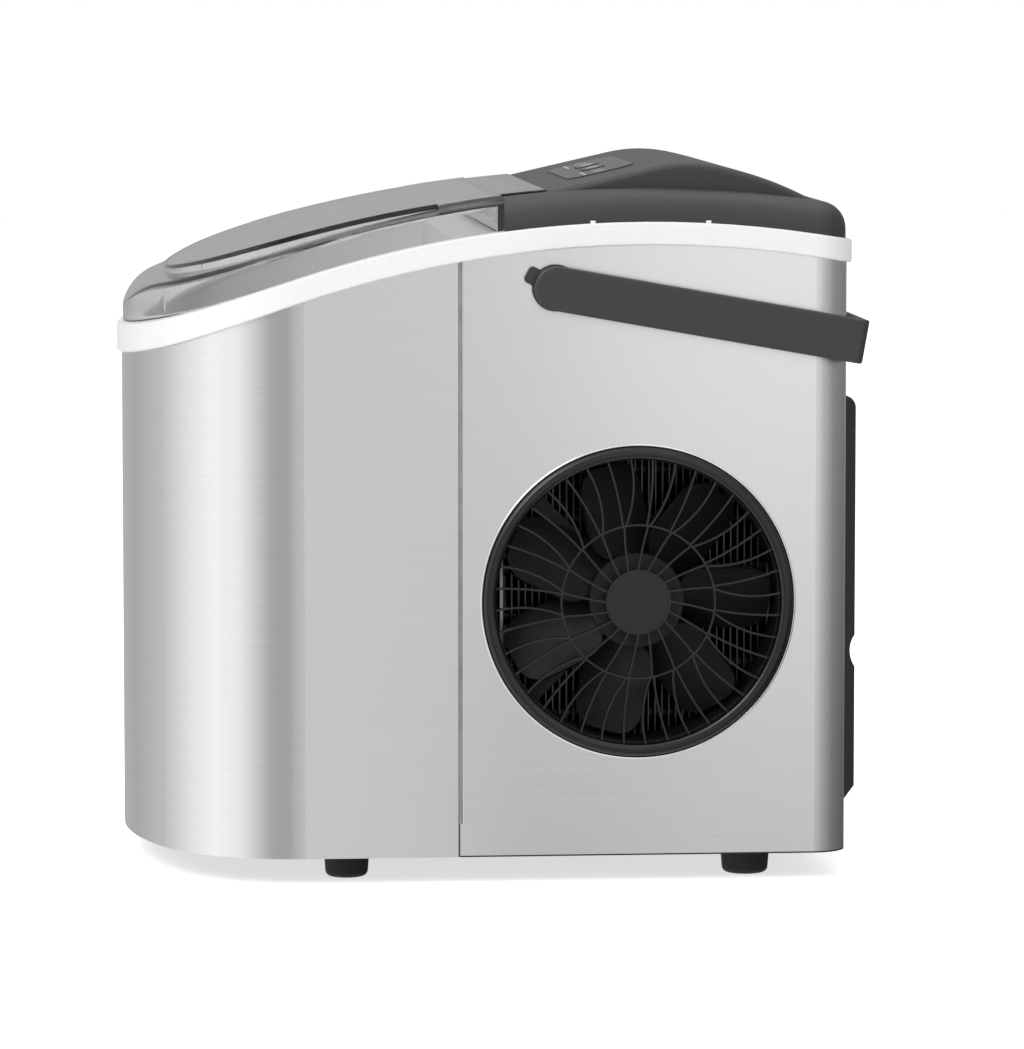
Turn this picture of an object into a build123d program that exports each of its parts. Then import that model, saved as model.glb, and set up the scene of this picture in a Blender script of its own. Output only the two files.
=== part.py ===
from build123d import *
import os
from math import cos, hypot, radians, sin, sqrt, tan

# Countertop bullet ice maker. X runs across, the front faces -Y, Z is up, the feet stand on Z = 0.

# Steel casing, D-shaped in plan
BODY_WIDTH = 222.0
BODY_FRONT = -148.6
BODY_REAR = 141.5
FRONT_RADIUS = 190.0
CORNER_RADIUS = 60.0
REAR_RADIUS = 14.0
STEEL = 1.0
SEAM_Y = -15.6
SEAM_GAP = 1.2
SEAM_ROUND = 0.7
SEAM_FOOT = 13.6
REAR_JOINT = 0.4

# Arched top line: a straight slope at the front that runs into one long arc
ARCH_RADIUS = 450.0
ARCH_Y = 60.0
ARCH_TOP = 266.2
ARCH_SLOPE = 18.5

# White trim ring
TRIM_PROUD = 2.0
TRIM_HEIGHT = 9.2
TRIM_LOWER_SLOPE = 20.0
TRIM_WEB = 2.0
TRIM_LEDGE = 9.0
TRIM_EDGE = 0.8
TAB_WIDTH = 2.0
TAB_HEIGHT = 1.1
TAB_DEPTH = 1.6
TAB_PLACES = (37.4, 83.9)

# Smoked lid
LID_INSET = 0.5
LID_RISE = 12.3
LID_SLOPE = 16.9
LID_WALL = 2.2
LID_GAP = 0.4
LID_REAR = 1.6
LID_EDGE = 3.0
NOSE_LEAD = 1.5
NOSE_RADIUS = 22.0
TONGUE_WIDTH = 180.0
TONGUE_REAR = 20.4
KNUCKLE_RADIUS = 5.0
HINGE_DEPTH = 3.4
HINGE_PIN_RADIUS = 1.2
HINGE_PIN_LENGTH = 13.0
HINGE_PIN_GRIP = 7.0
GRIP_WIDTH = 192.0
GRIP_FRONT = -131.0
GRIP_FRONT_RADIUS = 180.0
GRIP_CORNER = 45.0
GRIP_MIDDLE = -60.0
GRIP_RISE = 3.2
GRIP_FRONT_RISE = 1.7
GRIP_REAR_RISE = 1.6
GRIP_REAR = -24.0
GRIP_FALL = 15.0

# Dark grey top cover with the control hump
COVER_INSET = 0.5
COVER_RISE = 13.0
COVER_WALL = 2.5
COVER_EDGE = 11.0
COVER_GAP = 0.6
HUMP_WIDTH = 190.0
HUMP_SLOPE = 12.9
HUMP_REAR_Y = 62.5
HUMP_REAR_TOP = 290.6
HUMP_REAR_RADIUS = 138.0
HUMP_REAR_END = 131.0
HUMP_CREST = 60.0
HUMP_EDGE = 2.5
COVER_SCREW_PLACES = (62.0, 112.0)
COVER_BOSS_RADIUS = 3.0
SCREW_RADIUS = 1.5
SCREW_HEAD_RADIUS = 2.8
SCREW_HEAD = 2.0

# Control panel
CONTROL_Y = 47.0
CONTROL_Z = 283.8
PANEL_WIDTH = 104.0
PANEL_DEPTH = 28.0
PANEL_CORNER = 9.0
PANEL_PROUD = 0.5
PANEL_SUNK = 0.4
BUTTON_WIDTH = 17.0
BUTTON_DEPTH = 9.0
BUTTON_CORNER = 3.0
BUTTON_PROUD = 0.5
BUTTON_SPACING = 26.0
BUTTON_CLEARANCE = 0.4
BUTTON_FLANGE = 2.0
BUTTON_TRAVEL = 1.0
LIGHT_WIDTH = 1.8
LIGHT_LENGTH = 5.0
LIGHT_PLACES = (-44.0, -36.0, -28.0, 28.0, 36.0, 44.0)
BOARD_THICKNESS = 1.6
CONTROL_BOARD_WIDTH = 116.0
CONTROL_BOARD_DEPTH = 24.0
CONTROL_BOARD_DROP = 12.0
SWITCH_SIZE = 6.0
PILLAR_RADIUS = 2.2

# Carry handle
PIVOT_Y = 22.4
PIVOT_Z = 240.0
HANDLE_END_RADIUS = 8.9
HANDLE_REACH = 123.0
HANDLE_BAR = 3.4
HANDLE_ARM = 5.0
HANDLE_DROOP = 10.1
HANDLE_CLEARANCE = 0.6
HANDLE_CORNER = 3.0
HANDLE_EDGE = 1.0
BOSS_RADIUS = 9.4
BOSS_GAP = 0.3
LUG_RADIUS = 13.0
LUG_WIDTH = 7.0
LUG_CORNER = 1.8
LUG_ANGLE = 152.0
HANDLE_PIN_RADIUS = 3.0
HANDLE_PIN_FLANGE = 7.0
HANDLE_PIN_BITE = 3.4
RUNNING_GAP = 0.05

# Rear panel
REAR_PANEL_WIDTH = 150.0
REAR_PANEL_BOTTOM = 23.1
REAR_PANEL_TOP = 193.5
REAR_PANEL_DEPTH = 7.4
REAR_PANEL_WALL = 2.2
REAR_PANEL_LIP = 12.0
REAR_PANEL_CORNER = 5.0
REAR_CHAMFER = 9.9
NOTCH_MIDDLE = 88.8
NOTCH_HEIGHT = 13.0
NOTCH_DEPTH = 2.0
REAR_SCREW_LOW = 20.0
REAR_SCREW_HIGH = 23.0
SLOT_HEIGHT = 3.0
SLOT_LENGTH = 46.0
SLOT_PITCH = 7.6
SLOT_ROWS = 9
GLAND_X = -48.0
GLAND_Z = 58.0
GLAND_RADIUS = 6.5
GLAND_BORE = 3.6
GLAND_FLANGE = 9.0
GLAND_PROUD = 1.7

# Base and feet
FOOT_HEIGHT = 10.8
BASE_FLOOR = 2.5
BASE_RIM = 13.2
BASE_WALL = 2.0
BASE_LIP = 0.6
FOOT_PLACES = ((-85.0, -60.3, 9.3), (85.0, -60.3, 9.3), (-88.0, 102.2, 10.0), (88.0, 102.2, 10.0))
FOOT_TAPER = 0.8
FOOT_ROUND = 2.5
FOOT_SCREW_RADIUS = 2.0

# Insulated tub, basket and drain
TUB_INSET = 6.0
TUB_WALL = 2.5
TUB_FLOOR = 40.0
BULKHEAD_FRONT = -13.0
BULKHEAD = 1.0
BULKHEAD_FLANGE = 5.0
FOAM_TOP_DROP = 14.0
BASKET_INSET = 16.0
BASKET_WALL = 2.0
BASKET_BOTTOM = 112.0
BASKET_RIM = 200.0
BASKET_RIM_THICKNESS = 2.5
BASKET_RIM_WIDTH = 5.5
BASKET_REAR = -70.0
LEDGE_WIDTH = 6.0
LEDGE_HEIGHT = 8.0
LEDGE_FRONT = -96.0
BASKET_SLOT_WIDTH = 4.0
BASKET_SLOT_PITCH = 10.0
BASKET_SLOT_FRONT = -112.0
DRAIN_Y = -112.0
DRAIN_RADIUS = 6.0
DRAIN_BORE = 4.0
DRAIN_FLANGE = 10.0
DRAIN_BOTTOM = 5.5
CAP_WALL = 2.5
CAP_TOP = 10.2
FIT_GAP = 0.3

# Ice making unit
TRAY_Y = -41.0
TRAY_Z = 196.0
TRAY_RADIUS = 22.0
TRAY_WALL = 2.0
TRAY_LENGTH = 140.0
TRAY_OPENING = 210.0
TRAY_SHAFT_RADIUS = 3.0
TRAY_HUB_RADIUS = 6.0
SHAFT_BITE = 6.0
SHOVEL_THICKNESS = 1.4
SHOVEL_SWEEP = 40.0
SHOVEL_TEETH = 9
PIPE_RADIUS = 4.5
PIPE_RISE = 34.5
PIPE_SPACING = 16.0
PIPE_BEND = 7.0
FINGER_RADIUS = 4.0
FINGER_PITCH = 28.0
FINGER_DEPTH = 10.0
FINGERS_FRONT = 5
FINGERS_REAR = 4
BRACKET_THICKNESS = 3.0
BRACKET_DEPTH = 46.0
SADDLE_GAP = 0.2
MOTOR_DEPTH = 36.0
MOTOR_GAP = 8.0
BEARING_DEPTH = 16.0
PUMP_X = 88.0
PUMP_Y = -34.0
PUMP_RADIUS = 13.0
PUMP_HEIGHT = 34.0
HOSE_RADIUS = 3.5
HOSE_Y = -23.5
FLOAT_RADIUS = 9.0
FLOAT_STEM = 2.0

# Refrigeration
COMPRESSOR_X = -60.0
COMPRESSOR_Y = 72.0
COMPRESSOR_RADIUS = 45.0
COMPRESSOR_BOTTOM = 33.0
COMPRESSOR_TOP = 150.0
COMPRESSOR_DOME = 20.0
COMPRESSOR_FOOT = 14.0
COMPRESSOR_BELT = 2.0
COMPRESSOR_BELT_HEIGHT = 6.0
COMPRESSOR_PLATE = 3.0
MOUNT_CIRCLE = 50.0
MOUNT_ANGLES = (45.0, 135.0, 225.0, 315.0)
GROMMET_RADIUS = 7.0
BOLT_RADIUS = 2.5
LINE_RADIUS = 3.0
CAPILLARY_RADIUS = 1.6
STUB_SPACING = 24.0
STUB_FORWARD = 10.0
DRIER_RADIUS = 9.0
DRIER_X = 20.0
DRIER_LENGTH = 70.0
LINE_BEND = 8.0

# Condenser and fan, behind the right side
FAN_Y = 55.9
FAN_Z = 113.5
FAN_HOLE_RADIUS = 63.0
FAN_SIZE = 119.0
FAN_DEPTH = 25.0
FAN_RIM = 2.5
FAN_TIP_GAP = 2.0
FAN_HUB_RADIUS = 19.0
FAN_BLADES = 7
FAN_BLADE_CHORD = 30.0
FAN_BLADE_THICKNESS = 1.6
FAN_BLADE_PITCH = 32.0
FAN_WALL = 3.0
FAN_SHAFT_RADIUS = 1.5
FAN_SCREW_INSET = 7.0
GRILLE_FLANGE = 2.5
GRILLE_GAP = 0.5
GRILLE_LIP = 2.0
GRILLE_RING = 5.0
GRILLE_PROUD = 2.2
GRILLE_RIB = 0.8
GRILLE_RIB_DEPTH = 2.2
GRILLE_MID_RADIUS = 31.0
GRILLE_HUB_RADIUS = 13.1
GRILLE_PAIRS = 20
# Angles of each rib in degrees, at its start, its bow and its end
RIB_LEADING = (14.4, 15.5, 8.6)
RIB_TRAILING = (5.4, 6.9, 6.4)
RIB_INNER = (7.5, 4.5, -0.8)
CONDENSER_GAP = 4.0
CONDENSER_DEPTH = 22.0
CONDENSER_RUNS = 6
CONDENSER_RUN_PITCH = 20.0
CONDENSER_TUBE_RADIUS = 3.5
CONDENSER_Y = 58.0
CONDENSER_LENGTH = 108.0
CONDENSER_OVERHANG = 10.5
FIN_PITCH = 2.8
FIN_THICKNESS = 0.5
FIN_MARGIN = 8.0
END_PLATE = 1.2

# Electronics
MAIN_BOARD_X = -58.0
MAIN_BOARD_WIDTH = 70.0
MAIN_BOARD_BOTTOM = 160.0
MAIN_BOARD_HEIGHT = 60.0
STANDOFF = 5.0
# Place across the main board, width and height of its tall components
BOARD_COMPONENTS = ((-20.0, 16.0, 15.0), (4.0, 20.0, 17.0), (24.0, 12.0, 10.0))
SENSOR_WIDTH = 8.0
SENSOR_Z = 214.0
SENSOR_Y = -80.0

# Block that is larger than the whole object, for cutting
STOCK = 2 * (BODY_WIDTH + BODY_REAR - BODY_FRONT)
# Edges this close to a place are taken as being there
NEAR = 0.01

BASE_BOTTOM = FOOT_HEIGHT
BASE_TOP = BASE_BOTTOM + BASE_FLOOR
SIDE_X = BODY_WIDTH / 2
STEEL_INSIDE = SIDE_X - STEEL
TUB_INSIDE = SIDE_X - TUB_INSET - TUB_WALL
TUB_REAR_INSIDE = BULKHEAD_FRONT - TUB_WALL
COVER_FRONT = LID_REAR + COVER_GAP
HINGE_Y = TONGUE_REAR - sqrt(KNUCKLE_RADIUS**2 - HINGE_DEPTH**2)
HUMP_BASE = ARCH_TOP - TRIM_HEIGHT
TRIM_SIDE = SIDE_X + TRIM_PROUD
ARM_INSIDE = TRIM_SIDE + HANDLE_CLEARANCE
ARM_OUTSIDE = ARM_INSIDE + HANDLE_ARM
PIPE_Z = TRAY_Z + PIPE_RISE
FAN_BACK = STEEL_INSIDE - GRILLE_FLANGE - FAN_DEPTH
FAN_FRONT = FAN_BACK + FAN_DEPTH
FAN_BORE = FAN_SIZE / 2 - FAN_RIM
FAN_BLADE_TIP = FAN_BORE - FAN_TIP_GAP
FAN_SCREW_OFFSET = FAN_SIZE / 2 - FAN_SCREW_INSET
CONDENSER_X = FAN_BACK - CONDENSER_GAP - CONDENSER_DEPTH / 2
CONDENSER_TOP = FAN_Z + (CONDENSER_RUNS - 1) * CONDENSER_RUN_PITCH / 2
CONDENSER_REAR = CONDENSER_Y + CONDENSER_LENGTH / 2 + CONDENSER_OVERHANG
CONDENSER_FRONT = CONDENSER_Y - CONDENSER_LENGTH / 2 - CONDENSER_OVERHANG


def block(x, y, z):
    """Box between two limits on each axis."""
    middle = Pos((x[0] + x[1]) / 2, (y[0] + y[1]) / 2, (z[0] + z[1]) / 2)
    return middle * Box(x[1] - x[0], y[1] - y[0], z[1] - z[0])


def rod_x(radius, x, y, z):
    """Round bar along X between two limits."""
    upright = Cylinder(radius, x[1] - x[0], align=(Align.CENTER, Align.CENTER, Align.MIN))
    return Pos(x[0], y, z) * Rot(0, 90, 0) * upright


def rod_y(radius, x, y, z):
    """Round bar along Y between two limits."""
    upright = Cylinder(radius, y[1] - y[0], align=(Align.CENTER, Align.CENTER, Align.MIN))
    return Pos(x, y[0], z) * Rot(-90, 0, 0) * upright


def rod_z(radius, x, y, z):
    """Round bar along Z between two limits."""
    upright = Cylinder(radius, z[1] - z[0], align=(Align.CENTER, Align.CENTER, Align.MIN))
    return Pos(x, y, z[0]) * upright


def tube(points, radius, bend):
    """Bent pipe through the points, with one bend radius."""
    path = FilletPolyline(*points, radius=bend)
    return sweep(Plane(path @ 0, z_dir=path % 0) * Circle(radius), path=path)


def mirrored(right):
    """The right-hand piece and its mirror image on the left."""
    return right + mirror(right, about=Plane.YZ)


def body_outline(grow):
    """D-shaped plan of the casing, grown by an even margin. Deep insets keep a small rear corner."""
    half = SIDE_X + grow
    front_radius = FRONT_RADIUS + grow
    corner_radius = CORNER_RADIUS + grow
    rear_radius = max(REAR_RADIUS + grow, STEEL)
    rear = BODY_REAR + grow
    centre_y = BODY_FRONT + FRONT_RADIUS
    corner_x = half - corner_radius
    corner_y = centre_y - sqrt((front_radius - corner_radius) ** 2 - corner_x**2)
    reach = front_radius / (front_radius - corner_radius)
    join = (corner_x * reach, centre_y + (corner_y - centre_y) * reach)
    toward = Vector(join[0] - corner_x, join[1] - corner_y).normalized() + Vector(1, 0)
    middle = Vector(corner_x, corner_y) + toward.normalized() * corner_radius
    diagonal = rear_radius * sqrt(0.5)
    right = [
        ThreePointArc((0, centre_y - front_radius), *arc_middle(centre_y, front_radius, join), join),
        ThreePointArc(join, middle, (half, corner_y)),
        Line((half, corner_y), (half, rear - rear_radius)),
        ThreePointArc(
            (half, rear - rear_radius),
            (half - rear_radius + diagonal, rear - rear_radius + diagonal),
            (half - rear_radius, rear),
        ),
        Line((half - rear_radius, rear), (0, rear)),
        Line((0, rear), (0, centre_y - front_radius)),
    ]
    half_face = make_face(right)
    return half_face + mirror(half_face, about=Plane.YZ)


def arc_middle(centre_y, radius, end):
    """Point half way along the front arc, between the middle line and its end."""
    toward = Vector(end[0], end[1] - centre_y).normalized() + Vector(0, -1)
    return [Vector(0, centre_y) + toward.normalized() * radius]


def plan_block(grow):
    """The casing's plan as a tall block."""
    return extrude(body_outline(grow), amount=STOCK)


def arch_join(rise, slope):
    """Point where the straight front slope runs into the arc."""
    radius = ARCH_RADIUS + rise
    angle = radians(slope)
    return ARCH_Y - radius * sin(angle), ARCH_TOP - ARCH_RADIUS + radius * cos(angle)


def arch_z(y, rise, slope=ARCH_SLOPE):
    """Height of the arched line above a place along Y."""
    join_y, join_z = arch_join(rise, slope)
    if y < join_y:
        return join_z - (join_y - y) * tan(radians(slope))
    return ARCH_TOP - ARCH_RADIUS + sqrt((ARCH_RADIUS + rise) ** 2 - (y - ARCH_Y) ** 2)


def under_arch(rise, slope=ARCH_SLOPE):
    """Everything below the arched line, across the whole width."""
    front = 2 * BODY_FRONT
    rear = 1.5 * BODY_REAR
    join = arch_join(rise, slope)
    crest = (ARCH_Y, ARCH_TOP + rise)
    ends = [(front, arch_z(front, rise, slope)), (rear, arch_z(rear, rise, slope))]
    edge = [
        Line(ends[0], join),
        ThreePointArc(join, crest, ends[1]),
        Polyline(ends[1], (rear, -STOCK), (front, -STOCK), ends[0]),
    ]
    return extrude(Plane.YZ * make_face(edge), amount=STOCK / 2, both=True)


def half_space(y):
    """Block between two limits along Y, open every other way."""
    return block((-STOCK, STOCK), y, (-STOCK, STOCK))


def above(z):
    """Everything above a level."""
    return block((-STOCK, STOCK), (-STOCK, STOCK), (z, STOCK))


def edges_where(solid, test):
    """Edges of a solid whose ends and middle all pass a test."""
    places = (0.0, 0.5, 1.0)
    return [edge for edge in solid.edges() if all(test(edge @ place) for place in places)]


def on_outline(grow):
    """Test for points that lie on the casing's plan line, grown by a margin."""
    wire = body_outline(grow).faces()[0].outer_wire()
    return lambda point: wire.distance_to(Vertex(point.X, point.Y, 0)) < NEAR


def trim_ring():
    """White ring that caps the steel and carries lid and cover, with its clip tabs."""
    band = plan_block(TRIM_PROUD) & under_arch(0)
    band -= under_arch(-TRIM_HEIGHT, TRIM_LOWER_SLOPE)
    outside = on_outline(TRIM_PROUD)
    band = fillet(edges_where(band, outside), TRIM_EDGE)
    band -= plan_block(0) & under_arch(-TRIM_WEB)
    band -= plan_block(-TRIM_LEDGE)
    for x, y in cover_screw_places():
        band -= rod_z(SCREW_RADIUS + FIT_GAP, x, y, (0, STOCK))
    for place in TAB_PLACES:
        band += mirrored(trim_tab(place, 0))
    return band


def trim_tab(place, gap):
    """Clip tab on the ring's top edge, or its notch in the cover when a gap is given."""
    top = arch_z(place, 0)
    side = SIDE_X - COVER_INSET
    half = TAB_WIDTH / 2 + gap
    return block(
        (side - TAB_DEPTH - gap, side + TAB_DEPTH / 2),
        (place - half, place + half),
        (top - TRIM_WEB / 2, top + TAB_HEIGHT + gap),
    )


def steel_skin(bottom):
    """Full height steel skin round the casing."""
    skin = plan_block(0) - plan_block(-STEEL)
    return skin & under_arch(-TRIM_WEB) & above(bottom)


def front_wrap():
    """Steel sheet round the front."""
    end = SEAM_Y - SEAM_GAP / 2
    return round_seam(steel_skin(BASE_BOTTOM) & half_space((-STOCK, end)), end)


def round_seam(sheet, end):
    """Round the outer edge of a steel sheet where it ends at the seam."""
    edge = edges_where(sheet, lambda p: abs(abs(p.X) - SIDE_X) < NEAR and abs(p.Y - end) < NEAR)
    return fillet(edge, SEAM_ROUND)


def seam_foot(end):
    """Foot of the side panel's edge, which closes the seam to a fine line near the floor."""
    reach = (SEAM_Y - SEAM_GAP / 2 + FIT_GAP, end + SEAM_ROUND)
    foot = steel_skin(BASE_BOTTOM + BASE_LIP) & half_space(reach)
    return foot & block((0, STOCK), (-STOCK, STOCK), (0, BASE_BOTTOM + SEAM_FOOT))


def side_panel(side):
    """Steel side that turns round the rear corner to the middle of the back."""
    end = SEAM_Y + SEAM_GAP / 2
    panel = steel_skin(BASE_BOTTOM + BASE_LIP) & half_space((end, STOCK))
    panel &= block((REAR_JOINT / 2, STOCK), (-STOCK, STOCK), (0, STOCK))
    panel = round_seam(panel, end) + seam_foot(end)
    panel -= rear_window()
    for x, z in rear_screw_places():
        panel -= rod_y(SCREW_RADIUS, x, (0, STOCK), z)
    panel -= rod_x(HANDLE_PIN_RADIUS + FIT_GAP, (0, STOCK), PIVOT_Y, PIVOT_Z)
    if side > 0:
        return panel - rod_x(FAN_HOLE_RADIUS, (0, STOCK), FAN_Y, FAN_Z)
    return mirror(panel, about=Plane.YZ)


def rear_window():
    """Opening in the steel behind the rear panel."""
    half = REAR_PANEL_WIDTH / 2 - REAR_PANEL_LIP
    height = (REAR_PANEL_BOTTOM + REAR_PANEL_LIP, REAR_PANEL_TOP - REAR_PANEL_LIP)
    return block((-half, half), (BODY_REAR - REAR_RADIUS / 2, STOCK), height)


def rear_profile(inset):
    """Side view of the rear box, with its notch, drawn in by the wall."""
    outer = BODY_REAR + REAR_PANEL_DEPTH - inset
    bottom = REAR_PANEL_BOTTOM + inset
    top = REAR_PANEL_TOP - inset
    low = NOTCH_MIDDLE - NOTCH_HEIGHT / 2 - inset
    high = NOTCH_MIDDLE + NOTCH_HEIGHT / 2 + inset
    corner = REAR_PANEL_CORNER - inset
    bend = corner * sqrt(0.5)
    return make_face(
        [
            Polyline((BODY_REAR, top), (BODY_REAR, bottom), (outer, bottom + REAR_CHAMFER), (outer, low)),
            ThreePointArc((outer, low), (outer - NOTCH_DEPTH, NOTCH_MIDDLE), (outer, high)),
            Line((outer, high), (outer, top - corner)),
            ThreePointArc(
                (outer, top - corner), (outer - corner + bend, top - corner + bend), (outer - corner, top)
            ),
            Line((outer - corner, top), (BODY_REAR, top)),
        ]
    )


def rear_panel():
    """Black moulded box on the back, with air slots and the cable entry."""
    half = REAR_PANEL_WIDTH / 2
    shell = extrude(Plane.YZ * rear_profile(0), amount=half, both=True)
    shell -= extrude(Plane.YZ * rear_profile(REAR_PANEL_WALL), amount=half - REAR_PANEL_WALL, both=True)
    for slot_row in range(SLOT_ROWS):
        z = NOTCH_MIDDLE + NOTCH_HEIGHT + (slot_row + 1) * SLOT_PITCH
        slot_x = (half / 2 - SLOT_LENGTH / 2, half / 2 + SLOT_LENGTH / 2)
        slot = block(slot_x, (BODY_REAR + REAR_PANEL_DEPTH / 2, STOCK), (z, z + SLOT_HEIGHT))
        shell -= mirrored(slot)
    shell -= rod_y(GLAND_RADIUS, GLAND_X, (BODY_REAR, STOCK), GLAND_Z)
    for x, z in rear_screw_places():
        boss = rod_y(SCREW_HEAD_RADIUS + REAR_PANEL_WALL, x, (BODY_REAR, rear_outer_y()), z)
        shell += boss
        shell -= rod_y(SCREW_HEAD_RADIUS + FIT_GAP, x, (rear_outer_y() - SCREW_HEAD, STOCK), z)
        shell -= rod_y(SCREW_RADIUS, x, (0, STOCK), z)
    return shell


def rear_outer_y():
    """Rearmost face of the rear panel."""
    return BODY_REAR + REAR_PANEL_DEPTH


def rear_screw_places():
    """Screws near the four corners of the rear panel, through the steel returns."""
    x = REAR_PANEL_WIDTH / 2 - REAR_PANEL_LIP / 2
    low = REAR_PANEL_BOTTOM + REAR_SCREW_LOW
    high = REAR_PANEL_TOP - REAR_SCREW_HIGH
    return [(-x, low), (x, low), (-x, high), (x, high)]


def rear_panel_screws():
    """Four screws with their heads sunk in the rear panel."""
    screws = None
    for x, z in rear_screw_places():
        head_y = rear_outer_y() - SCREW_HEAD
        screw = rod_y(SCREW_HEAD_RADIUS, x, (head_y, head_y + SCREW_HEAD / 2), z)
        screw += rod_y(SCREW_RADIUS - RUNNING_GAP, x, (BODY_REAR - 4 * STEEL, head_y), z)
        screws = screw if screws is None else screws + screw
    return screws


def cord_gland():
    """Rubber entry bush in the rear panel."""
    outer = rear_outer_y()
    bush = rod_y(GLAND_RADIUS, GLAND_X, (outer - 2 * REAR_PANEL_WALL, outer + GLAND_PROUD), GLAND_Z)
    bush += rod_y(GLAND_FLANGE, GLAND_X, (outer - 2 * REAR_PANEL_WALL, outer - REAR_PANEL_WALL), GLAND_Z)
    return bush - rod_y(GLAND_BORE, GLAND_X, (0, STOCK), GLAND_Z)


def base_pan():
    """Black base with a rim inside the steel and a lip under the side panels."""
    pan = plan_block(-STEEL) & block((-STOCK, STOCK), (-STOCK, STOCK), (BASE_BOTTOM, BASE_BOTTOM + BASE_RIM))
    pan -= plan_block(-STEEL - BASE_WALL) & above(BASE_TOP)
    lip = plan_block(0) & half_space((SEAM_Y, STOCK))
    pan += lip & block((-STOCK, STOCK), (-STOCK, STOCK), (BASE_BOTTOM, BASE_BOTTOM + BASE_LIP))
    pan -= rod_z(DRAIN_RADIUS + FIT_GAP, 0, DRAIN_Y, (0, STOCK))
    for x, y, radius in FOOT_PLACES:
        pan -= rod_z(FOOT_SCREW_RADIUS + FIT_GAP, x, y, (0, STOCK))
    for x, y in mount_places():
        pan -= rod_z(BOLT_RADIUS, x, y, (0, STOCK))
    return pan


def rubber_feet():
    """Four tapered feet with a rounded bottom edge."""
    feet = None
    for x, y, radius in FOOT_PLACES:
        cone = Cone(radius - FOOT_TAPER, radius, FOOT_HEIGHT, align=(Align.CENTER, Align.CENTER, Align.MIN))
        foot = fillet(cone.edges().group_by(Axis.Z)[0], FOOT_ROUND)
        foot = Pos(x, y, 0) * foot
        foot -= rod_z(FOOT_SCREW_RADIUS * 2 + FIT_GAP, x, y, (0, FOOT_HEIGHT / 2))
        foot -= rod_z(FOOT_SCREW_RADIUS, x, y, (0, FOOT_HEIGHT))
        feet = foot if feet is None else feet + foot
    return feet


def foot_screws():
    """Screws up through the feet into the base."""
    screws = None
    for x, y, radius in FOOT_PLACES:
        seat = FOOT_HEIGHT / 2
        screw = rod_z(FOOT_SCREW_RADIUS * 2, x, y, (seat - SCREW_HEAD, seat))
        screw += rod_z(FOOT_SCREW_RADIUS - RUNNING_GAP, x, y, (seat, BASE_TOP - FIT_GAP))
        screws = screw if screws is None else screws + screw
    return screws


def bulkhead():
    """Sheet wall between tub and machine room, with flanges behind the steel seams."""
    limit = under_arch(-TRIM_WEB - TUB_WALL)
    rim_top = BASE_BOTTOM + BASE_RIM
    plate = plan_block(-STEEL) & half_space((BULKHEAD_FRONT, BULKHEAD_FRONT + BULKHEAD)) & above(rim_top)
    foot = plan_block(-STEEL - BASE_WALL) & half_space((BULKHEAD_FRONT, BULKHEAD_FRONT + BULKHEAD))
    plate += foot & block((-STOCK, STOCK), (-STOCK, STOCK), (BASE_TOP, rim_top))
    flange = plan_block(-STEEL) - plan_block(-STEEL - BULKHEAD)
    flange &= half_space((SEAM_Y - BULKHEAD_FLANGE, SEAM_Y + BULKHEAD_FLANGE))
    plate += flange & above(rim_top)
    plate &= limit
    for x in evaporator_ends():
        plate -= rod_y(PIPE_RADIUS + FIT_GAP, x, (-STOCK / 4, STOCK / 4), PIPE_Z)
    return plate


def inner_tub():
    """White ice bin and water reservoir, with basket ledges and a rear shelf."""
    room = under_arch(-TRIM_WEB) & above(TUB_FLOOR)
    tub = plan_block(-TUB_INSET) & half_space((-STOCK, BULKHEAD_FRONT)) & room
    hollow = plan_block(-TUB_INSET - TUB_WALL) & half_space((-STOCK, TUB_REAR_INSIDE))
    ledge = block(
        (TUB_INSIDE - LEDGE_WIDTH, SIDE_X - TUB_INSET),
        (LEDGE_FRONT, BASKET_REAR),
        (BASKET_RIM - LEDGE_HEIGHT, BASKET_RIM),
    )
    hollow -= mirrored(ledge)
    tub -= hollow & above(TUB_FLOOR + TUB_WALL)
    shelf = plan_block(-TUB_INSET) & half_space((BULKHEAD_FRONT, COVER_FRONT)) & under_arch(-TRIM_WEB)
    tub += shelf - under_arch(-TRIM_WEB - TUB_WALL)
    tub -= rod_z(DRAIN_RADIUS + FIT_GAP, 0, DRAIN_Y, (0, TUB_FLOOR + TUB_WALL))
    for x in evaporator_ends():
        tub -= rod_y(PIPE_RADIUS + FIT_GAP, x, (TUB_REAR_INSIDE - TUB_WALL, STOCK), PIPE_Z)
    return tub


def insulation_foam():
    """Foam slab under the tub with a foam wall round its front."""
    slab = plan_block(-STEEL - BASE_WALL - FIT_GAP) & half_space((-STOCK, BULKHEAD_FRONT - FIT_GAP))
    slab &= block((-STOCK, STOCK), (-STOCK, STOCK), (BASE_TOP, TUB_FLOOR))
    wall = plan_block(-STEEL) - plan_block(-TUB_INSET)
    wall &= half_space((-STOCK, SEAM_Y - BULKHEAD_FLANGE - FIT_GAP)) & under_arch(-FOAM_TOP_DROP)
    wall &= above(BASE_BOTTOM + BASE_RIM)
    foam = slab + wall
    return foam - rod_z(DRAIN_RADIUS + FIT_GAP, 0, DRAIN_Y, (0, STOCK))


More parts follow.
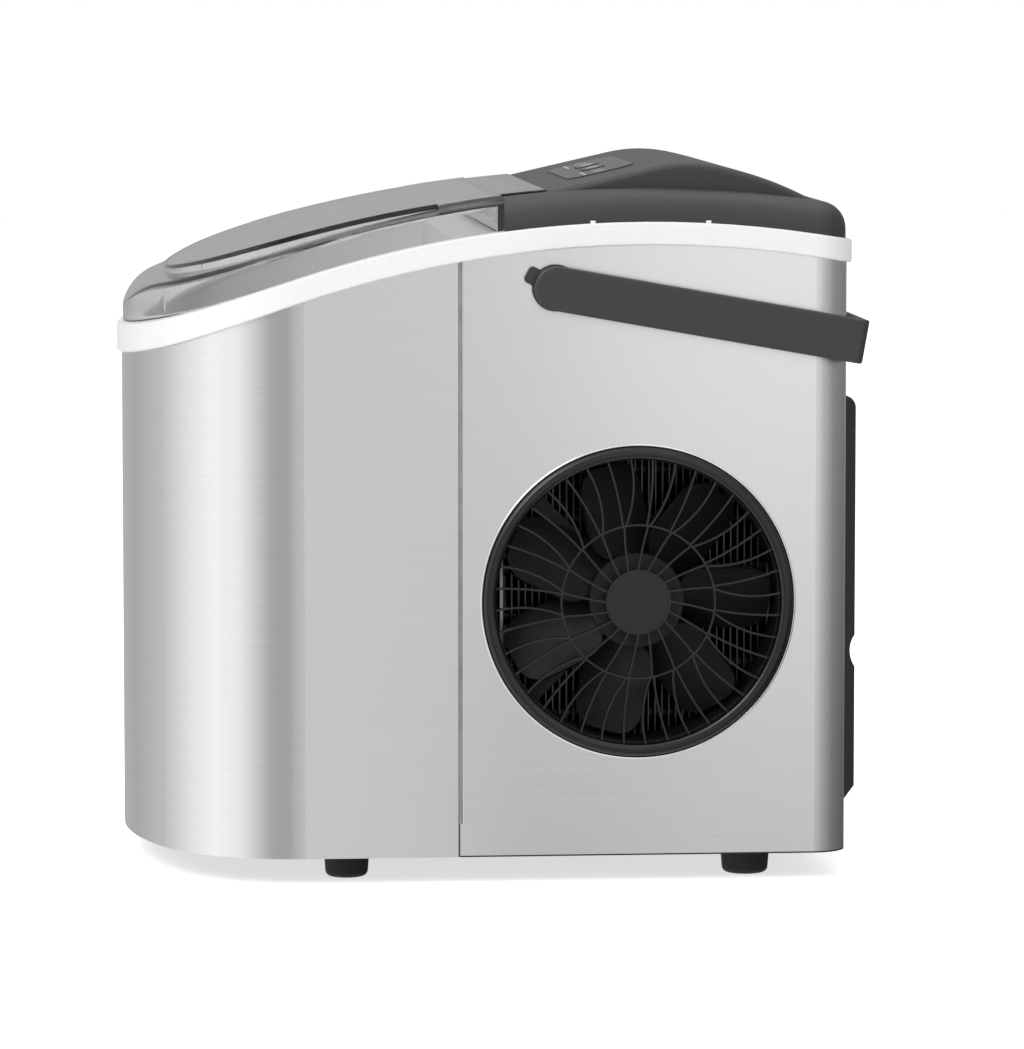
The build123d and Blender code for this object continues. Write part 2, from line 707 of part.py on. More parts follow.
def ice_basket():
    """Lift-out ice basket that hangs by its rim on the tub ledges."""
    top = BASKET_RIM + BASKET_RIM_THICKNESS
    front = half_space((-STOCK, BASKET_REAR))
    levels = block((-STOCK, STOCK), (-STOCK, STOCK), (BASKET_BOTTOM, top))
    basket = plan_block(-BASKET_INSET) & front & levels
    rim = plan_block(-BASKET_INSET + BASKET_RIM_WIDTH) & front
    basket += rim & block((-STOCK, STOCK), (-STOCK, STOCK), (BASKET_RIM, top))
    hollow = plan_block(-BASKET_INSET - BASKET_WALL) & half_space((-STOCK, BASKET_REAR - BASKET_WALL))
    basket -= hollow & above(BASKET_BOTTOM + BASKET_WALL)
    reach = SIDE_X - BASKET_INSET - 2 * BASKET_SLOT_PITCH
    slots = int(2 * reach / BASKET_SLOT_PITCH) + 1
    for slot in range(slots):
        x = (slot - (slots - 1) / 2) * BASKET_SLOT_PITCH
        half = BASKET_SLOT_WIDTH / 2
        length = (BASKET_SLOT_FRONT, BASKET_REAR - 3 * BASKET_WALL)
        basket -= block((x - half, x + half), length, (0, BASKET_BOTTOM + BASKET_WALL))
    return basket


def drain_fitting():
    """Drain spout from the tub floor down through foam and base."""
    floor = TUB_FLOOR + TUB_WALL
    spout = rod_z(DRAIN_RADIUS, 0, DRAIN_Y, (DRAIN_BOTTOM, floor))
    spout += rod_z(DRAIN_FLANGE, 0, DRAIN_Y, (floor, floor + BASKET_WALL))
    return spout - rod_z(DRAIN_BORE, 0, DRAIN_Y, (0, STOCK))


def drain_cap():
    """Rubber cap over the end of the drain spout."""
    bottom = DRAIN_BOTTOM - CAP_WALL
    cap = rod_z(DRAIN_RADIUS + CAP_WALL, 0, DRAIN_Y, (bottom, CAP_TOP))
    cap -= rod_z(DRAIN_RADIUS + RUNNING_GAP, 0, DRAIN_Y, (DRAIN_BOTTOM, STOCK))
    return cap + rod_z(DRAIN_BORE - RUNNING_GAP, 0, DRAIN_Y, (DRAIN_BOTTOM, CAP_TOP))


def lid_limit(depth):
    """Everything under the lid's top line and behind its rounded nose, drawn in by a depth."""
    front = BODY_FRONT - NOSE_LEAD + depth
    prism = under_arch(LID_RISE - depth, LID_SLOPE) & half_space((front, STOCK / 4))
    nose_z = arch_z(front, LID_RISE - depth, LID_SLOPE)
    nose = edges_where(prism, lambda p: abs(p.Y - front) < NEAR and abs(p.Z - nose_z) < NEAR)
    return fillet(nose, NOSE_RADIUS - depth)


def grip_arc(drop):
    """Arc along the raised lid top, from the nose to behind the hinge, lowered by a depth."""
    rises = (
        (BODY_FRONT, GRIP_FRONT_RISE),
        (GRIP_MIDDLE, GRIP_RISE),
        (TONGUE_REAR + KNUCKLE_RADIUS, GRIP_REAR_RISE),
    )
    return ThreePointArc(*[(y, arch_z(y, LID_RISE + rise, LID_SLOPE) - drop) for y, rise in rises])


def grip_limit(drop):
    """Everything under the raised lid top, lowered by a depth."""
    arc = grip_arc(drop)
    ends = [(place.X, place.Y) for place in (arc @ 0, arc @ 1)]
    edge = [arc, Polyline(ends[1], (ends[1][0], 0), (ends[0][0], 0), ends[0])]
    return extrude(Plane.YZ * make_face(edge), amount=BODY_WIDTH, both=True)


def grip_outline(inset):
    """Plan of the raised lid top: a bowed front with large corners, cut off at the lid's rear."""
    bow = Pos(0, GRIP_FRONT + GRIP_FRONT_RADIUS) * Circle(GRIP_FRONT_RADIUS - inset)
    length = LID_REAR - GRIP_FRONT
    plan = bow & Pos(0, LID_REAR - length / 2) * Rectangle(GRIP_WIDTH - 2 * inset, length)
    corners = [vertex for vertex in plan.vertices() if GRIP_FRONT < vertex.Y < LID_REAR - GRIP_CORNER]
    return fillet(corners, GRIP_CORNER - inset)


def lid_deck():
    """Rear of the raised lid top, which falls away to the lid's sides and ends the finger grooves."""
    deck = block((-STOCK, STOCK), (GRIP_REAR, LID_REAR), (0, STOCK)) & grip_limit(0)
    edge = Pos(SIDE_X - LID_INSET - LID_EDGE, 0, arch_z(GRIP_REAR, LID_RISE, LID_SLOPE))
    slope = edge * Rot(0, GRIP_FALL, 0) * edge.inverse() * under_arch(LID_RISE, LID_SLOPE)
    return deck & slope & mirror(slope, Plane.YZ) & plan_block(-LID_INSET - LID_EDGE)


def hinge_z():
    """Height of the lid's hinge axis, a set depth under the raised top."""
    arc = grip_arc(HINGE_DEPTH)
    centre = arc.arc_center
    return centre.Y + sqrt(arc.radius**2 - (HINGE_Y - centre.X) ** 2)


def lid():
    """Smoked lid: one thin shell with a rounded nose, a raised top and a rear tongue."""
    front = half_space((-STOCK, LID_REAR))
    shell = plan_block(-LID_INSET) & lid_limit(0) & front
    outside = on_outline(-LID_INSET)
    rim = edges_where(shell, lambda p: outside(p) and p.Z > arch_z(p.Y, LID_GAP))
    shell = fillet([edge for edge in rim if abs((edge % 0.5).Z) < 0.9], LID_EDGE)
    shell += extrude(grip_outline(0), amount=STOCK) & grip_limit(0)
    shell += lid_deck()
    hollow = plan_block(-LID_INSET - LID_WALL) & lid_limit(LID_WALL)
    hollow += extrude(grip_outline(LID_WALL), amount=STOCK) & grip_limit(LID_WALL)
    shell -= hollow & half_space((-STOCK, LID_REAR - LID_WALL))
    shell -= under_arch(LID_GAP)
    half = TONGUE_WIDTH / 2
    tongue = grip_limit(0) - grip_limit(LID_WALL)
    shell += tongue & block((-half, half), (LID_REAR - LID_WALL, HINGE_Y), (0, STOCK))
    shell += rod_x(KNUCKLE_RADIUS, (-half, half), HINGE_Y, hinge_z()) & grip_limit(0)
    bore = rod_x(HINGE_PIN_RADIUS + RUNNING_GAP, (half - HINGE_PIN_GRIP, STOCK), HINGE_Y, hinge_z())
    return shell - mirrored(bore)


def lid_hinge_pins():
    """Two steel pins that join the lid's knuckle to the cover's shoulders."""
    start = TONGUE_WIDTH / 2 - HINGE_PIN_GRIP + COVER_GAP
    return mirrored(rod_x(HINGE_PIN_RADIUS, (start, start + HINGE_PIN_LENGTH), HINGE_Y, hinge_z()))


def hump_face(shrink):
    """Space under the hump's sloped control face."""
    low = (Align.CENTER, Align.CENTER, Align.MAX)
    return control_plane(0) * Pos(0, 0, -shrink) * Box(STOCK, STOCK, STOCK, align=low)


def hump_rear(shrink):
    """Space under the hump's arched rear, level across its width."""
    width = (shrink - HUMP_WIDTH / 2, HUMP_WIDTH / 2 - shrink)
    arch = rod_x(HUMP_REAR_RADIUS - shrink, width, HUMP_REAR_Y, HUMP_REAR_TOP - HUMP_REAR_RADIUS)
    return arch & block(width, (COVER_FRONT + shrink, HUMP_REAR_END - shrink), (HUMP_BASE, STOCK))


def cover_block(shrink):
    """Cover's outer form, or its hollow when drawn in by the wall."""
    form = plan_block(-COVER_INSET - shrink) & under_arch(COVER_RISE - shrink)
    form &= half_space((COVER_FRONT + shrink, STOCK))
    form &= above(arch_z(BODY_REAR, 0) - TRIM_HEIGHT)
    outside = on_outline(-COVER_INSET - shrink)
    floor = TRIM_HEIGHT / 2
    rim = edges_where(form, lambda p: outside(p) and p.Z > arch_z(p.Y, floor))
    form = fillet([edge for edge in rim if abs((edge % 0.5).Z) < 0.9], COVER_EDGE - shrink)
    hump = hump_face(shrink) & hump_rear(shrink)
    crest = hump.edges().filter_by(Axis.X).sort_by(Axis.Z)[-1]
    hump = fillet(crest, HUMP_CREST - shrink)
    half = HUMP_WIDTH / 2 - shrink
    sides = edges_where(hump, lambda p: abs(abs(p.X) - half) < NEAR and p.Z > HUMP_BASE + HUMP_EDGE)
    hump = fillet([edge for edge in sides if abs((edge % 0.5).Z) < 0.9], HUMP_EDGE - shrink / 2)
    return form + hump - hinge_recess(shrink)


def hinge_recess(grow):
    """Recess for the lid's tongue and knuckle, grown by the wall for the hollow."""
    half = TONGUE_WIDTH / 2 + COVER_GAP + grow
    radius = KNUCKLE_RADIUS + COVER_GAP + grow
    slot = block((-half, half), (0, HINGE_Y), (hinge_z() - radius, STOCK))
    return slot + rod_x(radius, (-half, half), HINGE_Y, hinge_z())


def cover_screw_places():
    """Screws along both sides of the cover, in the width of the trim's web."""
    x = SIDE_X - COVER_INSET - COVER_WALL - COVER_BOSS_RADIUS * 0.6
    return [(side * x, y) for side in (-1, 1) for y in COVER_SCREW_PLACES]


def top_cover():
    """Dark grey rear cover: one shell with shoulders, hinge recess and control hump."""
    hollow = cover_block(COVER_WALL)
    cover = cover_block(0) - hollow - under_arch(0)
    for x, y in cover_screw_places():
        cover += rod_z(COVER_BOSS_RADIUS, x, y, (arch_z(y, 0), STOCK)) & hollow
        cover -= under_arch(0)
        cover -= rod_z(SCREW_RADIUS, x, y, (0, arch_z(y, COVER_RISE - 2 * COVER_WALL)))
    for x, y in board_pillars():
        pillar = control_plane(0) * Pos(x, y, -CONTROL_BOARD_DROP)
        post = Cylinder(PILLAR_RADIUS, STOCK, align=(Align.CENTER, Align.CENTER, Align.MIN))
        cover += (pillar * post) & hollow
    cover -= panel_prism() - hump_face(PANEL_SUNK)
    grow = 2 * BUTTON_CLEARANCE
    for cut in control_openings(Rectangle(BUTTON_WIDTH + grow, BUTTON_DEPTH + grow)):
        cover -= cut
    bore = rod_x(HINGE_PIN_RADIUS, (0, hinge_pin_end()), HINGE_Y, hinge_z())
    cover -= mirrored(bore)
    for place in TAB_PLACES:
        cover -= mirrored(trim_tab(place, FIT_GAP))
    return cover


def hinge_pin_end():
    """Outer end of a lid hinge pin."""
    return TONGUE_WIDTH / 2 - HINGE_PIN_GRIP + COVER_GAP + HINGE_PIN_LENGTH


def cover_screws():
    """Screws up through the trim's web into the cover bosses."""
    screws = None
    for x, y in cover_screw_places():
        edge = [arch_z(y + side * SCREW_HEAD_RADIUS, -TRIM_WEB) for side in (-1, 1)]
        web = min(edge)
        top = arch_z(y, COVER_RISE - 3 * COVER_WALL)
        screw = rod_z(SCREW_HEAD_RADIUS, x, y, (web - SCREW_HEAD, web))
        screw += rod_z(SCREW_RADIUS - RUNNING_GAP, x, y, (web, top))
        screws = screw if screws is None else screws + screw
    return screws


def control_plane(x):
    """Plane that lies on the control face at a place across the width."""
    angle = radians(HUMP_SLOPE)
    return Plane(origin=(x, CONTROL_Y, CONTROL_Z), x_dir=(1, 0, 0), z_dir=(0, -sin(angle), cos(angle)))


def panel_prism():
    """Prism of the control panel's outline, square to the slope."""
    outline = RectangleRounded(PANEL_WIDTH, PANEL_DEPTH, PANEL_CORNER)
    return extrude(control_plane(0) * outline, amount=CONTROL_BOARD_DROP / 2, both=True)


def button_places():
    """Planes of the two buttons on the hump's slope."""
    return [control_plane(-BUTTON_SPACING / 2), control_plane(BUTTON_SPACING / 2)]


def control_openings(button_hole):
    """Holes for buttons and lights, square to the slope."""
    reach = CONTROL_BOARD_DROP / 2
    light_hole = Rectangle(LIGHT_WIDTH + 2 * RUNNING_GAP, LIGHT_LENGTH + 2 * RUNNING_GAP)
    cuts = [extrude(plane * button_hole, amount=reach, both=True) for plane in button_places()]
    cuts += [extrude(control_plane(x) * light_hole, amount=reach, both=True) for x in LIGHT_PLACES]
    return cuts


def control_panel():
    """Thin overlay plate let into the control face."""
    plate = panel_prism() & (hump_face(-PANEL_PROUD) - hump_face(PANEL_SUNK))
    grow = 2 * BUTTON_CLEARANCE
    hole = RectangleRounded(BUTTON_WIDTH + grow, BUTTON_DEPTH + grow, BUTTON_CORNER + BUTTON_CLEARANCE)
    for cut in control_openings(hole):
        plate -= cut
    return plate


def push_button(plane):
    """Button cap with a retaining flange and a stem above its switch."""
    under = PANEL_SUNK + COVER_WALL + BUTTON_CLEARANCE
    cap = RectangleRounded(BUTTON_WIDTH, BUTTON_DEPTH, BUTTON_CORNER)
    button = extrude(plane * Pos(0, 0, -under) * cap, amount=under + PANEL_PROUD + BUTTON_PROUD)
    flange = RectangleRounded(BUTTON_WIDTH + BUTTON_FLANGE, BUTTON_DEPTH + BUTTON_FLANGE, BUTTON_CORNER)
    button += extrude(plane * Pos(0, 0, -under - STEEL) * flange, amount=STEEL)
    stem_end = CONTROL_BOARD_DROP - switch_height() - BUTTON_TRAVEL - FIT_GAP
    button += extrude(plane * Pos(0, 0, -stem_end) * Circle(PILLAR_RADIUS), amount=stem_end - under)
    return button


def switch_height():
    """Height of a press switch above its board."""
    return SWITCH_SIZE / 2


def indicator_lights():
    """Clear bars that carry light from the board through the panel."""
    lights = None
    for x in LIGHT_PLACES:
        bar = Rectangle(LIGHT_WIDTH, LIGHT_LENGTH)
        depth = PANEL_SUNK + 2 * COVER_WALL
        light = extrude(control_plane(x) * Pos(0, 0, -depth) * bar, amount=depth + PANEL_PROUD)
        lights = light if lights is None else lights + light
    return lights


def board_pillars():
    """Pillars that carry the control board, near its corners."""
    x = CONTROL_BOARD_WIDTH / 2 - 2 * PILLAR_RADIUS
    y = CONTROL_BOARD_DEPTH / 2 - 1.5 * PILLAR_RADIUS
    return [(-x, -y), (x, -y), (-x, y), (x, y)]


def control_board():
    """Board under the panel, with one press switch below each button."""
    plane = control_plane(0)
    outline = Rectangle(CONTROL_BOARD_WIDTH, CONTROL_BOARD_DEPTH)
    underside = plane * Pos(0, 0, -CONTROL_BOARD_DROP - BOARD_THICKNESS)
    board = extrude(underside * outline, amount=BOARD_THICKNESS)
    for side in (-1, 1):
        seat = plane * Pos(side * BUTTON_SPACING / 2, 0, -CONTROL_BOARD_DROP)
        switch = Rectangle(SWITCH_SIZE, SWITCH_SIZE)
        board += extrude(seat * switch, amount=switch_height())
    return board


def carry_handle():
    """Bail with two flat arms and a flat rear bar, resting low at the back."""
    height = 2 * HANDLE_END_RADIUS
    reach = HANDLE_REACH + HANDLE_BAR
    arm = block((ARM_INSIDE, ARM_OUTSIDE), (0, reach), (-height / 2, height / 2))
    arm += rod_x(HANDLE_END_RADIUS, (ARM_INSIDE, ARM_OUTSIDE), 0, 0)
    bar = block((-ARM_OUTSIDE, ARM_OUTSIDE), (HANDLE_REACH, reach), (-height / 2, height / 2))
    bail = mirrored(arm) + bar
    corner = edges_where(bail, lambda p: abs(abs(p.X) - ARM_OUTSIDE) < NEAR and abs(p.Y - reach) < NEAR)
    bail = fillet(corner, HANDLE_CORNER)
    bail = fillet(bail.edges(), HANDLE_EDGE)
    bite = ARM_INSIDE + HANDLE_PIN_BITE
    bail -= mirrored(rod_x(HANDLE_PIN_RADIUS + RUNNING_GAP, (0, bite), 0, 0))
    return Pos(0, PIVOT_Y, PIVOT_Z) * Rot(-HANDLE_DROOP, 0, 0) * bail


def handle_bosses():
    """Round bosses between steel and arms, each with a stop lug."""
    thick = (SIDE_X, ARM_INSIDE - BOSS_GAP)
    boss = rod_x(BOSS_RADIUS, thick, PIVOT_Y, PIVOT_Z)
    lug = block(thick, (0, LUG_RADIUS), (-LUG_WIDTH / 2, LUG_WIDTH / 2))
    lug = fillet(lug.edges().filter_by(Axis.X).group_by(Axis.Y)[-1], LUG_CORNER)
    boss += Pos(0, PIVOT_Y, PIVOT_Z) * Rot(LUG_ANGLE, 0, 0) * lug
    boss -= rod_x(HANDLE_PIN_RADIUS, (0, STOCK), PIVOT_Y, PIVOT_Z)
    return mirrored(boss)


def handle_pins():
    """Flanged pins from inside the steel, through the bosses, into the arms."""
    pin = rod_x(HANDLE_PIN_FLANGE, (STEEL_INSIDE - HANDLE_PIN_RADIUS, STEEL_INSIDE), PIVOT_Y, PIVOT_Z)
    end = ARM_INSIDE + HANDLE_PIN_BITE - FIT_GAP
    pin += rod_x(HANDLE_PIN_RADIUS, (STEEL_INSIDE, end), PIVOT_Y, PIVOT_Z)
    return mirrored(pin)


def evaporator_ends():
    """Places across the width where the two evaporator pipes leave the tub."""
    return (-TRAY_LENGTH / 2 - 3 * PIPE_RADIUS, -TRAY_LENGTH / 2)


def evaporator():
    """Bent pipe with nine cold fingers that hang into the tray."""
    outer, inner = evaporator_ends()
    front = TRAY_Y - PIPE_SPACING / 2
    rear = TRAY_Y + PIPE_SPACING / 2
    far = TRAY_LENGTH / 2
    exit_y = COVER_FRONT
    points = [
        (outer, exit_y, PIPE_Z),
        (outer, front, PIPE_Z),
        (far, front, PIPE_Z),
        (far, rear, PIPE_Z),
        (inner, rear, PIPE_Z),
        (inner, exit_y, PIPE_Z),
    ]
    unit = tube(points, PIPE_RADIUS, PIPE_BEND)
    for count, y in ((FINGERS_FRONT, front), (FINGERS_REAR, rear)):
        for finger in range(count):
            x = (finger - (count - 1) / 2) * FINGER_PITCH
            rod = rod_z(FINGER_RADIUS, x, y, (TRAY_Z - FINGER_DEPTH, PIPE_Z))
            tip = rod.edges().group_by(Axis.Z)[0]
            unit += fillet(tip, FINGER_RADIUS * 0.9)
    return unit


def evaporator_bracket():
    """White bridge from the tub's rear wall that saddles both evaporator pipes."""
    half = TRAY_LENGTH / 2 - PIPE_BEND - PIPE_RADIUS
    front = TUB_REAR_INSIDE - BRACKET_DEPTH
    top = PIPE_Z + PIPE_RADIUS + BRACKET_THICKNESS
    bridge = block((-half, half), (front, TUB_REAR_INSIDE), (PIPE_Z, top))
    for y in (TRAY_Y - PIPE_SPACING / 2, TRAY_Y + PIPE_SPACING / 2):
        bridge -= rod_x(PIPE_RADIUS + SADDLE_GAP, (-STOCK / 4, STOCK / 4), y, PIPE_Z)
        gap = PIPE_RADIUS + SADDLE_GAP
        bridge -= block((-half, half), (y - gap, y + gap), (PIPE_Z - gap, PIPE_Z))
    return bridge


def tray_section(inner, outer, start, sweep_angle):
    """Ring section of the trough, seen along its axis."""
    ring = Circle(outer)
    if inner > 0:
        ring -= Circle(inner)
    far = 3 * outer
    wedge = [(0, 0)]
    steps = 4
    for step in range(steps + 1):
        angle = radians(start + sweep_angle * step / steps)
        wedge.append((far * cos(angle), far * sin(angle)))
    return ring & make_face(Polyline(*wedge, close=True))


def along_tray(section, length):
    """Extrude a section along the tray's axis, centred across the width."""
    axis = Plane(origin=(0, TRAY_Y, TRAY_Z), x_dir=(0, 1, 0), z_dir=(1, 0, 0))
    return extrude(axis * section, amount=length / 2, both=True)


def water_tray():
    """Tilting trough, round about its own axis, with end plates and stub shafts."""
    outer = TRAY_RADIUS + TRAY_WALL
    lean = (360.0 - TRAY_OPENING) / 2
    trough = along_tray(tray_section(TRAY_RADIUS, outer, 270 - lean, 2 * lean), TRAY_LENGTH)
    plate = tray_section(0, outer, 270 - lean, 2 * lean) + Circle(TRAY_HUB_RADIUS)
    ends = along_tray(plate, TRAY_LENGTH) - along_tray(Circle(2 * outer), TRAY_LENGTH - 2 * TRAY_WALL)
    shaft_end = TRAY_LENGTH / 2 + MOTOR_GAP + SHAFT_BITE
    shaft = rod_x(TRAY_SHAFT_RADIUS, (TRAY_LENGTH / 2, shaft_end), TRAY_Y, TRAY_Z)
    return trough + ends + mirrored(shaft)


def ice_shovel():
    """Toothed strip on the front of the trough that moves the ice to the basket."""
    inner = TRAY_RADIUS + TRAY_WALL
    start = 270 - (360.0 - TRAY_OPENING) / 2
    length = TRAY_LENGTH - 4 * TRAY_WALL
    strip = along_tray(tray_section(inner, inner + SHOVEL_THICKNESS, start, SHOVEL_SWEEP), length)
    pitch = length / SHOVEL_TEETH
    for tooth in range(SHOVEL_TEETH):
        x = (tooth - (SHOVEL_TEETH - 1) / 2) * pitch
        notch = (TRAY_Z - TRAY_RADIUS, TRAY_Z - TRAY_RADIUS / 2)
        strip -= block((x - pitch / 4, x + pitch / 4), (-STOCK / 4, TRAY_Y), notch)
    return strip


def tray_motor():
    """Gear motor on the left tub wall that tilts the tray."""
    inner = TRAY_LENGTH / 2 + MOTOR_GAP
    half = MOTOR_DEPTH / 2
    case = block((-TUB_INSIDE, -inner), (TRAY_Y - half, TRAY_Y + half), (TRAY_Z - half, TRAY_Z + half / 2))
    return case - rod_x(TRAY_SHAFT_RADIUS + RUNNING_GAP, (-inner - SHAFT_BITE - FIT_GAP, 0), TRAY_Y, TRAY_Z)


def tray_bearing():
    """Bearing block on the right tub wall for the tray's other end."""
    inner = TRAY_LENGTH / 2 + MOTOR_GAP
    half = BEARING_DEPTH / 2
    carrier = block((inner, TUB_INSIDE), (TRAY_Y - half, TRAY_Y + half), (TRAY_Z - half, TRAY_Z + half))
    bore = (0, inner + SHAFT_BITE + FIT_GAP)
    return carrier - rod_x(TRAY_SHAFT_RADIUS + RUNNING_GAP, bore, TRAY_Y, TRAY_Z)


def water_pump():
    """Small pump that stands on the tub floor."""
    floor = TUB_FLOOR + TUB_WALL
    pump = rod_z(PUMP_RADIUS, PUMP_X, PUMP_Y, (floor, floor + PUMP_HEIGHT))
    pump += rod_z(HOSE_RADIUS + TRAY_WALL, PUMP_X, HOSE_Y, (floor + PUMP_HEIGHT / 2, floor + PUMP_HEIGHT))
    return pump


def pump_hose():
    """Hose from the pump up the rear wall and over the tray's end."""
    start = TUB_FLOOR + TUB_WALL + PUMP_HEIGHT
    top = PIPE_Z - PIPE_RADIUS - HOSE_RADIUS - TUB_WALL
    outlet = TRAY_LENGTH / 2 - FINGER_PITCH / 2
    points = [(PUMP_X, HOSE_Y, start), (PUMP_X, HOSE_Y, top), (outlet, HOSE_Y, top)]
    return tube(points, HOSE_RADIUS, 4 * HOSE_RADIUS)


def water_level_float():
    """Level sensor: a float ring on a stem that stands on the tub floor."""
    floor = TUB_FLOOR + TUB_WALL
    x = -PUMP_X
    stem = rod_z(FLOAT_STEM, x, PUMP_Y, (floor, floor + 2 * PUMP_HEIGHT))
    stem += rod_z(FLOAT_STEM * 2, x, PUMP_Y, (floor, floor + FLOAT_STEM))
    ring = rod_z(FLOAT_RADIUS, x, PUMP_Y, (floor + PUMP_HEIGHT / 2, floor + PUMP_HEIGHT))
    ring -= rod_z(FLOAT_STEM + FIT_GAP, x, PUMP_Y, (0, STOCK))
    return stem + ring


def ice_sensors():
    """Sender and receiver that look across the full basket."""
    half = SENSOR_WIDTH / 2
    sensor = block(
        (TUB_INSIDE - half, TUB_INSIDE),
        (SENSOR_Y - half + SENSOR_WIDTH, SENSOR_Y + half + SENSOR_WIDTH),
        (SENSOR_Z - half, SENSOR_Z + half),
    )
    return mirrored(sensor)


def mount_places():
    """Centres of the compressor's mounting bolts."""
    places = []
    for degrees in MOUNT_ANGLES:
        angle = radians(degrees)
        x = COMPRESSOR_X + MOUNT_CIRCLE * cos(angle)
        places.append((x, COMPRESSOR_Y + MOUNT_CIRCLE * sin(angle)))
    return places


def compressor():
    """Domed black compressor shell with a welded belt and its terminal cover."""
    shell = rod_z(COMPRESSOR_RADIUS, COMPRESSOR_X, COMPRESSOR_Y, (COMPRESSOR_BOTTOM, COMPRESSOR_TOP))
    shell = fillet(shell.edges().group_by(Axis.Z)[-1], COMPRESSOR_DOME)
    shell = fillet(shell.edges().group_by(Axis.Z)[0], COMPRESSOR_FOOT)
    middle = (COMPRESSOR_BOTTOM + COMPRESSOR_TOP) / 2
    belt = (middle - COMPRESSOR_BELT_HEIGHT / 2, middle + COMPRESSOR_BELT_HEIGHT / 2)
    shell += rod_z(COMPRESSOR_RADIUS + COMPRESSOR_BELT, COMPRESSOR_X, COMPRESSOR_Y, belt)
    box_x = (COMPRESSOR_X, COMPRESSOR_X + COMPRESSOR_RADIUS + COMPRESSOR_FOOT)
    half = COMPRESSOR_DOME
    box_z = (belt[1] - half, belt[1] + half)
    return shell + block(box_x, (COMPRESSOR_Y - half, COMPRESSOR_Y + half), box_z)


def plate_level():
    """Underside of the compressor's mounting plate."""
    return COMPRESSOR_BOTTOM - COMPRESSOR_PLATE


def compressor_plate():
    """Mounting plate under the compressor, a square with round corners."""
    side = 2 * MOUNT_CIRCLE * sqrt(0.5) + 2 * GROMMET_RADIUS
    square = RectangleRounded(side, side, GROMMET_RADIUS * 0.95)
    outline = Pos(COMPRESSOR_X, COMPRESSOR_Y, plate_level()) * square
    plate = extrude(outline, amount=COMPRESSOR_PLATE)
    for x, y in mount_places():
        plate -= rod_z(BOLT_RADIUS + FIT_GAP, x, y, (0, STOCK))
    return plate


def compressor_grommets():
    """Rubber mounts between base and compressor plate."""
    mounts = None
    for x, y in mount_places():
        mount = rod_z(GROMMET_RADIUS, x, y, (BASE_TOP, plate_level()))
        mount -= rod_z(BOLT_RADIUS + FIT_GAP, x, y, (0, STOCK))
        mounts = mount if mounts is None else mounts + mount
    return mounts


def compressor_bolts():
    """Bolts through base, mounts and plate, with their nuts on top."""
    bolts = None
    top = COMPRESSOR_BOTTOM
    for x, y in mount_places():
        bolt = rod_z(BOLT_RADIUS - RUNNING_GAP, x, y, (BASE_BOTTOM, top + 2 * BOLT_RADIUS))
        nut = extrude(Pos(x, y, top) * RegularPolygon(2 * BOLT_RADIUS, 6), amount=1.5 * BOLT_RADIUS)
        bolt += nut
        bolts = bolt if bolts is None else bolts + bolt
    return bolts


def stub_place(side):
    """Place of a pipe stub on top of the compressor."""
    return COMPRESSOR_X + side * STUB_SPACING / 2, COMPRESSOR_Y - STUB_FORWARD


def suction_line():
    """Return pipe from the evaporator to the compressor."""
    inner = evaporator_ends()[1]
    y = stub_place(-1)[1]
    points = [(inner, COVER_FRONT, PIPE_Z), (inner, y, PIPE_Z), (inner, y, COMPRESSOR_TOP)]
    return tube(points, LINE_RADIUS, LINE_BEND)


def discharge_line():
    """Hot gas pipe from the compressor to the top of the condenser."""
    x, y = stub_place(1)
    level = COMPRESSOR_TOP + 5 * LINE_BEND
    rear = CONDENSER_REAR
    points = [
        (x, y, COMPRESSOR_TOP),
        (x, y, level),
        (CONDENSER_X, y, level),
        (CONDENSER_X, rear, level),
        (CONDENSER_X, rear, CONDENSER_TOP + 2 * LINE_BEND),
    ]
    return tube(points, LINE_RADIUS, LINE_BEND)


def condenser_levels():
    """Heights of the condenser's tube runs, from the top down."""
    return [CONDENSER_TOP - run * CONDENSER_RUN_PITCH for run in range(CONDENSER_RUNS)]


def condenser_tubes():
    """One long pipe that goes back and forth through the fins."""
    ends = (CONDENSER_REAR, CONDENSER_FRONT)
    points = [(CONDENSER_X, CONDENSER_REAR, CONDENSER_TOP + 2 * LINE_BEND)]
    for run, z in enumerate(condenser_levels()):
        points.append((CONDENSER_X, ends[run % 2], z))
        points.append((CONDENSER_X, ends[(run + 1) % 2], z))
    points.append((CONDENSER_X, CONDENSER_REAR, condenser_levels()[-1] - 2 * LINE_BEND))
    return tube(points, CONDENSER_TUBE_RADIUS, LINE_BEND)


def tube_holes(gap):
    """Bars that cut the holes for the condenser's tube runs."""
    reach = (CONDENSER_FRONT, CONDENSER_REAR)
    radius = CONDENSER_TUBE_RADIUS + gap
    return [rod_y(radius, CONDENSER_X, reach, z) for z in condenser_levels()]


def condenser_plate(y, thickness, margin):
    """Upright plate across the condenser with a hole for each tube run."""
    levels = condenser_levels()
    half = CONDENSER_DEPTH / 2
    plate = block(
        (CONDENSER_X - half, CONDENSER_X + half),
        (y - thickness / 2, y + thickness / 2),
        (levels[-1] - margin, levels[0] + margin),
    )
    for hole in tube_holes(2 * RUNNING_GAP):
        plate -= hole
    return plate


def condenser_fins():
    """Stack of thin upright fins on the tube runs."""
    count = int((CONDENSER_LENGTH - FIN_PITCH) / FIN_PITCH)
    first = condenser_plate(CONDENSER_Y - (count - 1) / 2 * FIN_PITCH, FIN_THICKNESS, FIN_MARGIN)
    fins = []
    for fin in range(count):
        fins.append(Pos(0, fin * FIN_PITCH, 0) * first)
    return Compound(children=fins)


